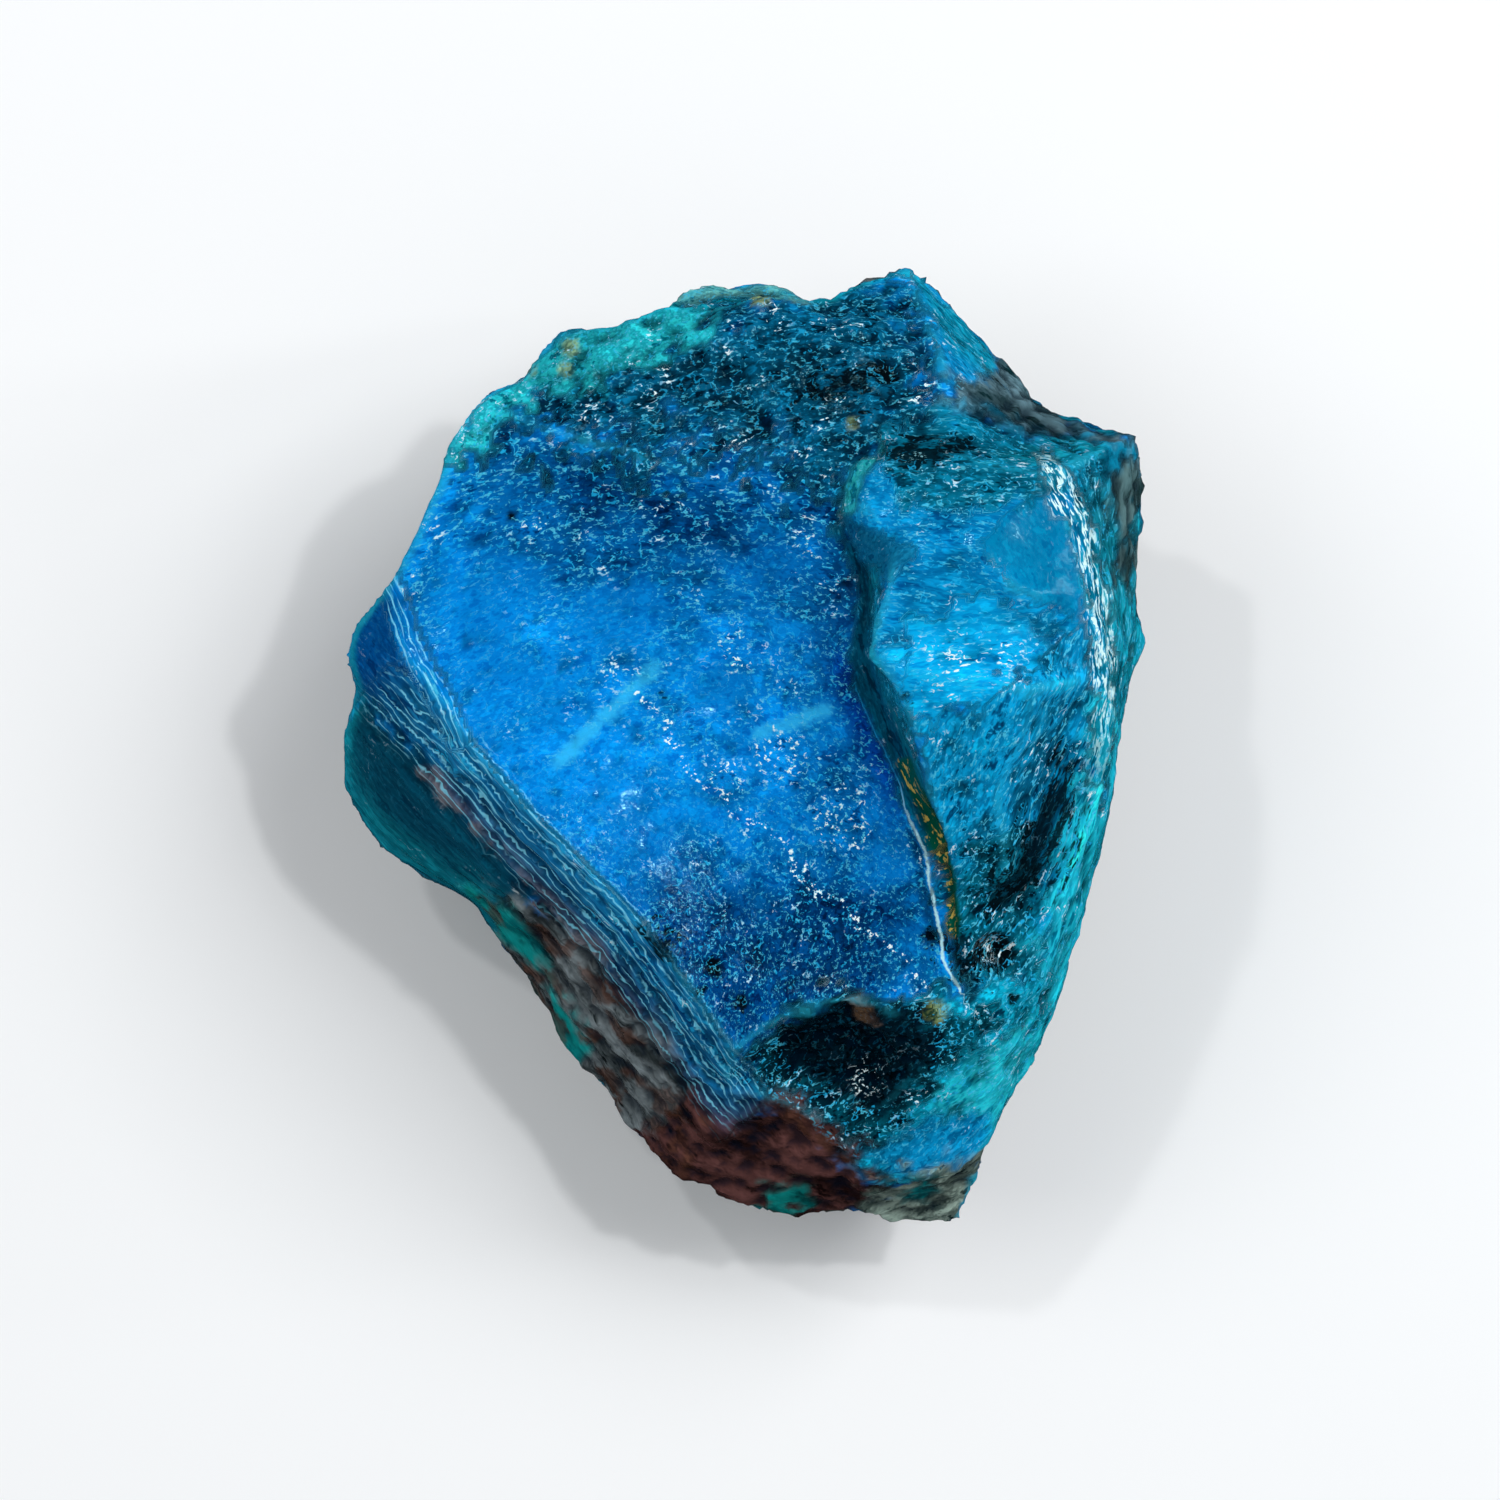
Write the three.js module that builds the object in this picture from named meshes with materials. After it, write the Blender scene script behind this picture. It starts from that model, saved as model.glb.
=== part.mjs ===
// A rough piece of blue chrysocolla chalcedony, which is a quartz, broken out of its vein.
// It is one solid natural stone. It lies on its back, so the broken blue face looks up.
// Millimetres. X runs across the stone, Y along it and Z up. The origin is under the
// middle of the stone, on the surface that it rests on.

import * as THREE from 'three';
import { ImprovedNoise } from 'three/addons/math/ImprovedNoise.js';

// Driving dimensions of the finished stone. The corners below are placed by eye close to
// these, and the stone is brought to them exactly at the end.
const WIDTH = 37.0; // along X
const LENGTH = 44.0; // along Y
const THICKNESS = 22.6; // along Z

const LONGEST_EDGE = 1.75; // of a triangle
const SPLIT_PASSES = 9;
const SETTLE_PASSES = 160; // enough for the widest face to hang smoothly from its edges
const LUMPS = [
  // The stone's own unevenness: how far apart the lumps are, and how high.
  { apart: 6.0, high: 0.30 },
  { apart: 2.6, high: 0.16 },
];
const REST_FADE = 2.0; // height over which the lumps fade in above the resting face

// Corners where three or more broken faces meet: [x, y, z].
const at = {
  peak: [7.8, 22.0, 13.2],
  saddle: [4.1, 20.7, 14.6],
  bumpWest: [-2.8, 20.0, 14.8],
  crustStart: [-12.0, 15.5, 15.6],
  notch: [-15.9, 7.5, 15.0],
  westCorner: [-17.6, 2.8, 12.2],
  lobeEnd: [-12.1, -7.0, 8.8],
  matrixEnd: [-3.7, -18.9, 8.6],
  footWest: [5.8, -21.0, 9.0],
  heel: [11.4, -17.9, 11.4],
  flankFoot: [17.3, 0.2, 12.2],
  eastCorner: [18.0, 14.4, 14.2],
  shoulderEnd: [13.5, 16.0, 12.8],

  ledgeTop: [4.5, 10.9, 18.4],
  ledgeFoot: [9.8, -10.7, 16.2],
  crownWest: [6.7, 14.0, 19.2],
  crownMiddle: [9.6, 14.4, 19.0],
  crownEast: [13.9, 12.3, 20.2],
  bandStart: [-14.8, 0.3, 14.6],
  bandCrest: [-13.0, 1.6, 16.4],
  creaseTop: [-8.2, -6.0, 15.4],
  bandEnd: [-0.5, -15.3, 13.8],
  hollowWest: [-0.3, -13.7, 16.2],
  hollowNorth: [6.3, -11.5, 16.4],
  hollowSouth: [4.1, -17.2, 13.6],
  rimCorner: [6.3, -19.5, 12.6],
  flankTop: [16.8, 0.5, 17.4],
  flankKnee: [13.2, -9.8, 15.6],

  facetWest: [6.9, 8.5, 20.7],
  facetMiddle: [10.7, 9.3, 21.3],
  facetSouth: [12.3, 7.2, 21.8],
  facetEast: [15.6, 6.4, 20.0],
  browWest: [5.5, 4.3, 21.0],
  browEast: [13.2, 2.9, 22.2],
  browEdge: [16.4, 3.2, 18.8],
  slopeWest: [8.4, -1.8, 20.2],
  slopeMiddle: [11.6, -1.8, 20.4],
  slopeFoot: [12.0, -5.6, 18.4],
  flankBend: [15.6, -2.5, 16.6],

  bumpFootWest: [-4.0, 19.2, 9.6],
  bumpFootEast: [4.6, 19.8, 9.4],
  backNorth: [0.5, 18.6, 5.6],
  backNorthWest: [-5.6, 17.2, 7.4],
  backNorthEast: [5.6, 18.6, 5.6],
  backShoulder: [10.2, 16.2, 5.0],
  backEast: [14.8, 12.0, 6.4],
  backFlank: [16.6, 7.6, 4.6],
  backFlankSouth: [16.2, 2.4, 5.2],
  backKnee: [14.2, -5.0, 3.6],
  backHeel: [12.2, -11.6, 5.0],
  backFoot: [9.6, -19.4, 4.0],
  backSouth: [3.8, -19.6, 3.4],
  backMatrix: [-2.2, -16.8, 4.6],
  backHip: [-6.4, -12.0, 3.2],
  backLobe: [-10.4, -6.6, 4.4],
  backWest: [-15.2, -2.6, 4.2],
  backNotch: [-15.4, 3.4, 6.6],
  backLeft: [-12.8, 8.6, 6.0],
  backCrust: [-10.2, 13.4, 7.8],

  restNorth: [-0.5, 12.5, 0],
  restNorthEast: [6.5, 10.5, 0],
  restEast: [10.0, 5.0, 0],
  restSouthEast: [9.6, -4.0, 0],
  restFoot: [6.2, -11.0, 0],
  restSouth: [0.8, -13.0, 0],
  restSouthWest: [-5.4, -8.0, 0],
  restWest: [-9.6, -0.5, 0],
  restNorthWest: [-7.2, 8.6, 0],
};

// Broken edges: each runs through its points, from one of the corners above to another.
const edge = {
  // The outline that is seen from above, counter-clockwise from the peak.
  peakWest: [at.peak, [6.1, 21.9, 13.6], [5.0, 21.3, 14.2], at.saddle],
  bumpRim: [at.saddle, [1.6, 20.5, 15.0], [-0.4, 20.4, 15.2], [-2.1, 19.7, 15.2], at.bumpWest],
  crustRim: [at.bumpWest, [-4.4, 20.0, 14.6], [-5.3, 19.4, 14.4], [-7.7, 19.4, 14.0],
    [-8.8, 18.5, 14.0], [-9.7, 16.9, 14.6], [-11.0, 16.3, 15.0], at.crustStart],
  westRim: [at.crustStart, [-13.0, 14.2, 16.0], [-13.7, 11.9, 16.1], [-14.6, 10.0, 15.8], at.notch],
  cornerRim: [at.notch, [-17.5, 6.0, 14.0], [-18.0, 4.4, 13.2], at.westCorner],
  lobeRim: [at.westCorner, [-18.2, 0.7, 10.4], [-18.5, -1.5, 9.0], [-17.7, -2.8, 8.4],
    [-16.5, -4.5, 8.2], [-14.2, -5.9, 8.3], at.lobeEnd],
  matrixRim: [at.lobeEnd, [-10.8, -9.1, 8.3], [-9.2, -11.4, 7.9], [-8.3, -13.3, 7.8],
    [-6.9, -14.9, 8.0], [-5.1, -17.1, 8.3], at.matrixEnd],
  brownRim: [at.matrixEnd, [-3.1, -19.9, 8.6], [-1.9, -20.1, 9.0], [-1.2, -20.8, 8.6],
    [0.9, -21.2, 8.4], [3.4, -21.4, 8.4], at.footWest],
  footRim: [at.footWest, [6.8, -21.9, 7.6], [8.4, -22.0, 7.2], [10.1, -21.9, 7.4],
    [10.8, -20.0, 8.8], at.heel],
  flankRim: [at.heel, [12.5, -15.8, 11.2], [13.9, -13.3, 11.0], [15.2, -9.8, 11.0],
    [15.7, -7.5, 11.2], [16.5, -3.9, 11.6], at.flankFoot],
  eastRim: [at.flankFoot, [17.7, 2.8, 12.2], [18.5, 5.0, 11.6], [18.3, 7.7, 11.0],
    [18.5, 9.6, 11.2], [18.5, 12.3, 12.4], at.eastCorner],
  shoulderRim: [at.eastCorner, [16.1, 14.8, 13.8], [14.6, 15.4, 13.2], at.shoulderEnd],
  peakRim: [at.shoulderEnd, [12.9, 17.0, 12.4], [11.8, 18.0, 12.2], [10.7, 19.2, 12.3],
    [9.1, 21.0, 12.8], at.peak],

  // The big blue face and what borders it.
  crustEdge: [at.crustStart, [-9.2, 14.8, 16.4], [-5.5, 13.7, 17.2], [-1.9, 12.3, 17.7],
    [1.8, 11.6, 17.9], at.ledgeTop],
  notchEdge: [at.notch, [-15.5, 5.2, 15.2], [-14.3, 3.2, 15.8], at.bandCrest],
  bandTop: [at.bandCrest, [-11.4, -0.4, 17.0], [-9.4, -2.7, 17.6], [-6.9, -5.0, 17.8],
    [-4.6, -7.5, 17.7], [-2.3, -10.7, 17.1], at.hollowWest],
  hollowTop: [at.hollowWest, [1.9, -12.2, 16.4], [4.1, -11.3, 16.6], at.hollowNorth],
  neckEdge: [at.hollowNorth, [8.2, -11.2, 16.4], at.ledgeFoot],
  lip: [at.ledgeTop, [4.7, 9.6, 18.3], [5.8, 8.0, 18.4], [5.7, 6.5, 18.5], [5.1, 4.4, 18.7],
    [5.8, 2.8, 18.7], [6.5, 1.1, 18.7], [7.1, -0.7, 18.5], [7.4, -2.6, 18.2],
    [8.3, -4.2, 17.8], [8.8, -5.9, 17.4], [9.0, -8.4, 16.8], at.ledgeFoot],

  // The raised block right of the ledge.
  wallTopNorth: [at.ledgeTop, [5.4, 10.9, 19.6], [7.4, 9.6, 20.5], at.facetWest],
  wallTopMiddle: [at.facetWest, [6.4, 6.6, 20.9], at.browWest],
  wallTopSouth: [at.browWest, [6.9, 2.7, 21.3], [7.5, 1.4, 21.3], [8.1, -0.1, 20.9], at.slopeWest],
  wallTopFoot: [at.slopeWest, [9.0, -3.8, 19.4], [9.5, -5.9, 18.5], [10.0, -8.4, 17.2],
    at.ledgeFoot],
  crownRim: [at.ledgeTop, [5.4, 12.6, 18.9], at.crownWest],
  crownSaddle: [at.crownWest, [8.2, 13.6, 19.5], [11.4, 13.0, 20.0], at.crownEast],
  crownStep: [at.crownWest, at.crownMiddle],
  facetNorth: [at.facetWest, [8.8, 9.2, 21.0], at.facetMiddle],
  facetRise: [at.facetMiddle, [12.2, 10.8, 20.9], at.crownEast],
  facetFall: [at.facetMiddle, at.facetSouth],
  facetReach: [at.facetSouth, at.facetEast],
  browNorth: [at.browWest, [8.4, 3.4, 21.9], [10.8, 3.2, 22.2], at.browEast],
  browReach: [at.browEast, at.browEdge],
  slopeNorth: [at.slopeWest, at.slopeMiddle],
  slopeRise: [at.slopeMiddle, [12.6, 0.4, 21.2], at.browEast],
  slopeFall: [at.slopeMiddle, at.slopeFoot],
  slopeReach: [at.slopeFoot, at.flankBend],
  kneeEdge: [at.ledgeFoot, [11.6, -10.4, 16.0], at.flankKnee],
  flankCrest: [at.crownEast, [15.0, 9.6, 20.3], at.facetEast],
  flankCrestMiddle: [at.facetEast, at.browEdge],
  flankCrestSouth: [at.browEdge, at.flankTop],
  flankShin: [at.flankTop, at.flankBend],
  flankCalf: [at.flankBend, [14.8, -5.9, 16.2], at.flankKnee],
  flankAnkle: [at.flankKnee, [12.2, -13.2, 14.8], [11.2, -16.0, 13.4], at.heel],
  flankDrop: [at.flankTop, at.flankFoot],
  cornerRidge: [at.crownEast, [16.2, 13.3, 17.8], at.eastCorner],

  // The peak and the brown shoulder beside it.
  peakRidge: [at.peak, [8.3, 20.2, 15.2], [9.0, 18.1, 17.0], [9.3, 16.0, 18.2], at.crownMiddle],
  shoulderEdge: [at.crownMiddle, [11.8, 15.5, 16.8], at.shoulderEnd],

  // The step-fractured band, the lobe below it and the matrix at the foot.
  cornerFoot: [at.westCorner, [-16.3, 1.6, 13.4], at.bandStart],
  bandClose: [at.bandStart, at.bandCrest],
  bandFoot: [at.bandStart, [-12.1, -1.9, 15.2], [-9.9, -4.0, 15.5], at.creaseTop],
  bandHeel: [at.creaseTop, [-6.4, -8.0, 15.3], [-4.4, -10.4, 15.0], [-2.3, -13.2, 14.5],
    at.bandEnd],
  creaseEdge: [at.lobeEnd, [-11.0, -7.9, 10.4], [-9.8, -7.5, 12.8], at.creaseTop],
  matrixEdge: [at.matrixEnd, [-2.2, -17.4, 11.4], at.bandEnd],
  bandStub: [at.bandEnd, at.hollowWest],
  brownTop: [at.bandEnd, [2.6, -16.4, 13.6], at.hollowSouth],
  brownLip: [at.hollowSouth, [5.4, -18.8, 12.9], at.rimCorner],
  footTop: [at.rimCorner, [8.5, -19.7, 12.4], [9.9, -19.4, 12.0], at.heel],
  footEdge: [at.footWest, at.rimCorner],
  hollowEast: [at.hollowSouth, [6.6, -16.2, 14.2], [7.8, -14.7, 14.9], [7.6, -12.8, 15.8],
    at.hollowNorth],

  // The lump that shows behind the northern rim.
  bumpCrest: [at.bumpFootWest, [-2.3, 21.2, 9.6], [-1.3, 21.6, 9.2], [-0.8, 21.3, 9.0],
    [0.4, 21.8, 9.0], [1.6, 21.7, 9.0], [2.6, 20.9, 9.4], at.bumpFootEast],
};

// Broken faces. A loop runs counter-clockwise seen from outside, along edges and between
// corners, and "-" takes an edge backwards. Swell lifts the middle of a face, or sinks it
// when negative, in millimetres. Rough says how strongly the lumps show on it.
const faces = {
  granularTop: {
    loop: 'peakWest bumpRim crustRim crustEdge crownRim crownStep -peakRidge',
    swell: 0.7, rough: 1.4,
  },
  peakFace: { loop: 'peakRidge shoulderEdge peakRim', swell: 0.2, rough: 0.7 },
  shoulder: {
    loop: 'crownSaddle cornerRidge shoulderRim -shoulderEdge -crownStep',
    swell: -0.5, rough: 1.1,
  },
  eastFace: {
    loop: 'flankCrest flankCrestMiddle flankCrestSouth flankDrop eastRim -cornerRidge',
    swell: 0.5, rough: 0.9,
  },
  flank: { loop: 'flankShin flankCalf flankAnkle flankRim -flankDrop', swell: 0.6, rough: 0.7 },
  blockTop: {
    loop: 'wallTopNorth facetNorth facetRise -crownSaddle -crownRim',
    swell: 0.15, rough: 0.6,
  },
  blockFacet: { loop: 'facetFall facetReach -flankCrest -facetRise', swell: 0.1, rough: 0.4 },
  brow: {
    loop: 'wallTopMiddle browNorth browReach -flankCrestMiddle -facetReach -facetFall -facetNorth',
    swell: -0.3, rough: 0.6,
  },
  slope: { loop: 'wallTopSouth slopeNorth slopeRise -browNorth', swell: 0.35, rough: 0.6 },
  streakedSlope: {
    loop: '-slopeRise slopeFall slopeReach -flankShin -flankCrestSouth -browReach',
    swell: -0.3, rough: 0.8,
  },
  darkSlope: {
    loop: 'wallTopFoot kneeEdge -flankCalf -slopeReach -slopeFall -slopeNorth',
    swell: -0.2, rough: 1.0,
  },
  ledgeWall: {
    loop: 'lip -wallTopFoot -wallTopSouth -wallTopMiddle -wallTopNorth',
    swell: -0.25, rough: 0.4,
  },
  blueFace: {
    loop: 'westRim notchEdge bandTop hollowTop neckEdge -lip -crustEdge',
    swell: -1.5, rough: 0.6,
  },
  darkCorner: { loop: 'cornerRim cornerFoot bandClose -notchEdge', swell: 0.25, rough: 0.4 },
  steppedBand: { loop: 'bandFoot bandHeel bandStub -bandTop -bandClose', swell: 0.45, rough: 0.6 },
  lobe: { loop: 'lobeRim creaseEdge -bandFoot -cornerFoot', swell: 0.9, rough: 0.4 },
  greyMatrix: { loop: 'matrixRim matrixEdge -bandHeel -creaseEdge', swell: 0.2, rough: 1.0 },
  brownMatrix: { loop: 'brownRim footEdge -brownLip -brownTop -matrixEdge', swell: 0.3, rough: 1.3 },
  foot: { loop: 'footRim -footTop -footEdge', swell: -0.2, rough: 0.8 },
  darkHollow: { loop: 'brownTop hollowEast -hollowTop -bandStub', swell: -1.1, rough: 1.0 },
  lowFace: {
    loop: 'brownLip footTop -flankAnkle -kneeEdge -neckEdge -hollowEast',
    swell: 0.4, rough: 0.9,
  },

  bumpWall: { loop: '-bumpRim bumpFootEast -bumpCrest', swell: -0.3, rough: 1.2 },
  peakWall: { loop: '-peakWest backShoulder backNorthEast bumpFootEast', swell: 0.4, rough: 1.2 },
  bumpUnder: { loop: 'bumpCrest backNorthEast backNorth backNorthWest', swell: 0.3, rough: 1.4 },
  crustWall: { loop: '-crustRim bumpFootWest backNorthWest backCrust', swell: 0.3, rough: 1.4 },
  westWall: { loop: '-westRim backCrust backLeft', swell: 0.4, rough: 1.0 },
  cornerWall: { loop: '-cornerRim backLeft backNotch', swell: -0.2, rough: 0.8 },
  lobeWall: { loop: '-lobeRim backNotch backWest backLobe', swell: 0.7, rough: 0.8 },
  matrixWall: { loop: '-matrixRim backLobe backHip backMatrix', swell: 0.5, rough: 1.3 },
  brownWall: { loop: '-brownRim backMatrix backSouth', swell: 0.5, rough: 1.4 },
  footWall: { loop: '-footRim backSouth backFoot', swell: 0.2, rough: 1.2 },
  flankWall: {
    loop: '-flankRim backFoot backHeel backKnee backFlankSouth',
    swell: 0.8, rough: 1.2,
  },
  eastWall: { loop: '-eastRim backFlankSouth backFlank backEast', swell: 0.5, rough: 1.2 },
  shoulderWall: { loop: '-shoulderRim backEast', swell: 0.2, rough: 1.2 },
  peakBack: { loop: '-peakRim backEast backShoulder', swell: 0.4, rough: 1.2 },

  underNorth: {
    loop: 'backNorthWest backNorth backNorthEast restNorthEast restNorth',
    swell: 0.3, rough: 1.3,
  },
  underNorthWest: {
    loop: 'backLeft backCrust backNorthWest restNorth restNorthWest',
    swell: 0.5, rough: 1.3,
  },
  underWest: { loop: 'backWest backNotch backLeft restNorthWest restWest', swell: -0.4, rough: 1.2 },
  underSouthWest: { loop: 'backHip backLobe backWest restWest restSouthWest', swell: 0.5, rough: 1.4 },
  underSouth: {
    loop: 'backSouth backMatrix backHip restSouthWest restSouth',
    swell: 0.3, rough: 1.4,
  },
  underHeel: { loop: 'backHeel backFoot backSouth restSouth restFoot', swell: -0.3, rough: 1.3 },
  underSouthEast: {
    loop: 'backFlankSouth backKnee backHeel restFoot restSouthEast',
    swell: 0.5, rough: 1.3,
  },
  underEast: { loop: 'backEast backFlank backFlankSouth restSouthEast restEast', swell: 0.3, rough: 1.3 },
  underNorthEast: {
    loop: 'backNorthEast backShoulder backEast restEast restNorthEast',
    swell: -0.4, rough: 1.3,
  },
  restingFace: {
    loop: 'restNorth restNorthEast restEast restSouthEast restFoot restSouth restSouthWest'
      + ' restWest restNorthWest',
    swell: 0, rough: 0,
  },
};

// The stone's points, and its triangles as { corners: [three places in points], face }.
const points = [];
const onRim = new Set();
const placeOf = new Map();

function place(corner) {
  if (!placeOf.has(corner)) {
    placeOf.set(corner, points.length);
    onRim.add(points.length);
    points.push(new THREE.Vector3(...corner));
  }
  return placeOf.get(corner);
}

// The places of a loop's points, in order, with each corner taken once.
function rimOf(loop) {
  const corners = loop.split(' ').flatMap((word) => {
    if (at[word]) return [at[word]];
    return word.startsWith('-') ? [...edge[word.slice(1)]].reverse() : edge[word];
  });
  return corners.filter((corner, i) => corner !== corners[(i + 1) % corners.length]).map(place);
}

function normalOf(places) {
  const sum = new THREE.Vector3();
  places.forEach((p, i) => {
    sum.add(points[p].clone().cross(points[places[(i + 1) % places.length]]));
  });
  return sum.normalize();
}

// Fills a face's rim with flat triangles.
function fill(name, loop) {
  const rim = rimOf(loop);
  const out = normalOf(rim);
  const side = new THREE.Vector3(out.z, out.x, out.y).cross(out).normalize();
  const up = out.clone().cross(side);
  const flat = rim.map((p) => new THREE.Vector2(points[p].dot(side), points[p].dot(up)));
  return THREE.ShapeUtils.triangulateShape(flat, []).map(([a, b, c]) => {
    const corners = [rim[a], rim[b], rim[c]];
    if (normalOf(corners).dot(out) < 0) corners.reverse();
    return { corners, face: name };
  });
}

const span = (a, b) => points[a].distanceTo(points[b]);

const sideKey = (a, b, face = '') => `${Math.min(a, b)} ${Math.max(a, b)} ${face}`;

// Every edge of the triangles, as its two ends and the two triangles that share it. An edge
// inside a face is kept apart from one with the same ends in the face next to it.
function sidesOf(triangles) {
  const sides = new Map();
  const add = (key, a, b, owner) => {
    if (!sides.has(key)) sides.set(key, { a, b, owners: [] });
    sides.get(key).owners.push(owner);
  };
  for (const triangle of triangles) {
    const [a, b, c] = triangle.corners;
    for (const [from, to] of [[a, b], [b, c], [c, a]]) {
      add(sideKey(from, to, triangle.face), from, to, triangle);
    }
  }
  for (const [key, { a, b, owners }] of [...sides]) {
    if (owners.length === 2) continue;
    sides.delete(key);
    add(sideKey(a, b), a, b, owners[0]);
  }
  return sides;
}

const isInside = ({ owners: [one, other] }) => one.face === other.face;

// An edge is cut where it is too long, or where it runs across a face from rim to rim.
function needsCut(side) {
  const crosses = isInside(side) && onRim.has(side.a) && onRim.has(side.b);
  return crosses || span(side.a, side.b) > LONGEST_EDGE;
}

// Halves the edges that need it, the longest first, and at most one in a triangle.
function split(triangles) {
  const sides = [...sidesOf(triangles).values()].filter(needsCut);
  sides.sort((one, other) => span(other.a, other.b) - span(one.a, one.b));
  const cut = new Set();
  for (const side of sides) {
    const { a, b, owners } = side;
    if (owners.some((triangle) => cut.has(triangle))) continue;
    const middle = points.push(points[a].clone().lerp(points[b], 0.5)) - 1;
    if (!isInside(side)) onRim.add(middle);
    for (const triangle of owners) {
      const half = { corners: triangle.corners.map((p) => (p === a ? middle : p)), face: triangle.face };
      triangle.corners = triangle.corners.map((p) => (p === b ? middle : p));
      triangles.push(half);
      cut.add(triangle);
    }
  }
}

// Turns an edge inside a face to the other diagonal of its two triangles, where that is shorter.
function turn(triangles) {
  const turned = new Set();
  const sides = sidesOf(triangles);
  for (const side of [...sides.values()]) {
    const { a, b, owners: [one, other] } = side;
    if (!isInside(side) || turned.has(one) || turned.has(other)) continue;
    const c = one.corners.find((p) => p !== a && p !== b);
    const d = other.corners.find((p) => p !== a && p !== b);
    const turnedOne = one.corners.map((p) => (p === b ? d : p));
    const turnedOther = other.corners.map((p) => (p === a ? c : p));
    const out = normalOf(one.corners).add(normalOf(other.corners));
    const folds = [turnedOne, turnedOther].some((corners) => normalOf(corners).dot(out) < 0.5);
    const taken = sides.has(sideKey(c, d, one.face)) || (onRim.has(c) && onRim.has(d));
    if (folds || taken || span(c, d) > 0.95 * span(a, b)) continue;
    sides.set(sideKey(c, d, one.face), side);
    one.corners = turnedOne;
    other.corners = turnedOther;
    turned.add(one).add(other);
  }
}

// Lets the inside of each face settle between its edges, as a stretched skin would, and
// then swells it by its own amount.
function settle(triangles) {
  const facesAt = points.map(() => new Set());
  const neighbours = points.map(() => new Set());
  for (const { corners, face } of triangles) {
    corners.forEach((p, i) => {
      facesAt[p].add(face);
      neighbours[p].add(corners[(i + 1) % 3]).add(corners[(i + 2) % 3]);
    });
  }
  const inside = points.map((_, p) => p).filter((p) => !onRim.has(p));
  const dome = points.map(() => 0);
  for (let pass = 0; pass < SETTLE_PASSES; pass += 1) {
    for (const p of inside) {
      const share = 1 / neighbours[p].size;
      points[p].set(0, 0, 0);
      dome[p] = 1;
      for (const q of neighbours[p]) {
        points[p].addScaledVector(points[q], share);
        dome[p] += dome[q] * share;
      }
    }
  }
  for (const [name, { loop, swell }] of Object.entries(faces)) {
    const own = inside.filter((p) => facesAt[p].has(name));
    const highest = Math.max(...own.map((p) => dome[p]));
    const out = normalOf(rimOf(loop));
    own.forEach((p) => points[p].addScaledVector(out, (swell * dome[p]) / highest));
  }
  return facesAt;
}

// Moves every point by the stone's lumps, which fade out at the face that it rests on.
function roughen(facesAt) {
  const noise = new ImprovedNoise();
  const ways = [0, 31.7, 67.3]; // places in the noise to read each direction from
  points.forEach((point, p) => {
    const roughs = [...facesAt[p]].map((name) => faces[name].rough);
    const rough = roughs.reduce((sum, value) => sum + value, 0) / roughs.length;
    const fade = THREE.MathUtils.smoothstep(point.z, 0, REST_FADE);
    const move = new THREE.Vector3();
    for (const { apart, high } of LUMPS) {
      const [x, y, z] = point.toArray().map((value) => value / apart);
      const push = ways.map((way) => noise.noise(x + way, y - way, z + way));
      move.addScaledVector(new THREE.Vector3(...push), high * rough * fade);
    }
    point.add(move);
  });
}

function stoneGeometry() {
  const triangles = Object.entries(faces).flatMap(([name, { loop }]) => fill(name, loop));
  for (let pass = 0; pass < SPLIT_PASSES; pass += 1) {
    split(triangles);
    turn(triangles);
  }
  roughen(settle(triangles));
  const geometry = new THREE.BufferGeometry().setFromPoints(points);
  geometry.setIndex(triangles.flatMap(({ corners }) => corners));
  geometry.computeBoundingBox();
  const size = geometry.boundingBox.getSize(new THREE.Vector3());
  const middle = geometry.boundingBox.getCenter(new THREE.Vector3());
  geometry.translate(-middle.x, -middle.y, -geometry.boundingBox.min.z);
  geometry.scale(WIDTH / size.x, LENGTH / size.y, THICKNESS / size.z);
  geometry.computeVertexNormals();
  return geometry;
}

const chrysocolla = new THREE.MeshStandardMaterial({
  name: 'chrysocolla chalcedony',
  color: 0x0f6fb4,
  roughness: 0.35,
  metalness: 0,
});

const stone = new THREE.Mesh(stoneGeometry(), chrysocolla);
stone.name = 'stone';

const specimen = new THREE.Group();
specimen.name = 'specimen';
specimen.add(stone);

export default specimen;
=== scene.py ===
import math

import bmesh
import bpy
import numpy as np
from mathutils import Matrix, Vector, noise


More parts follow.
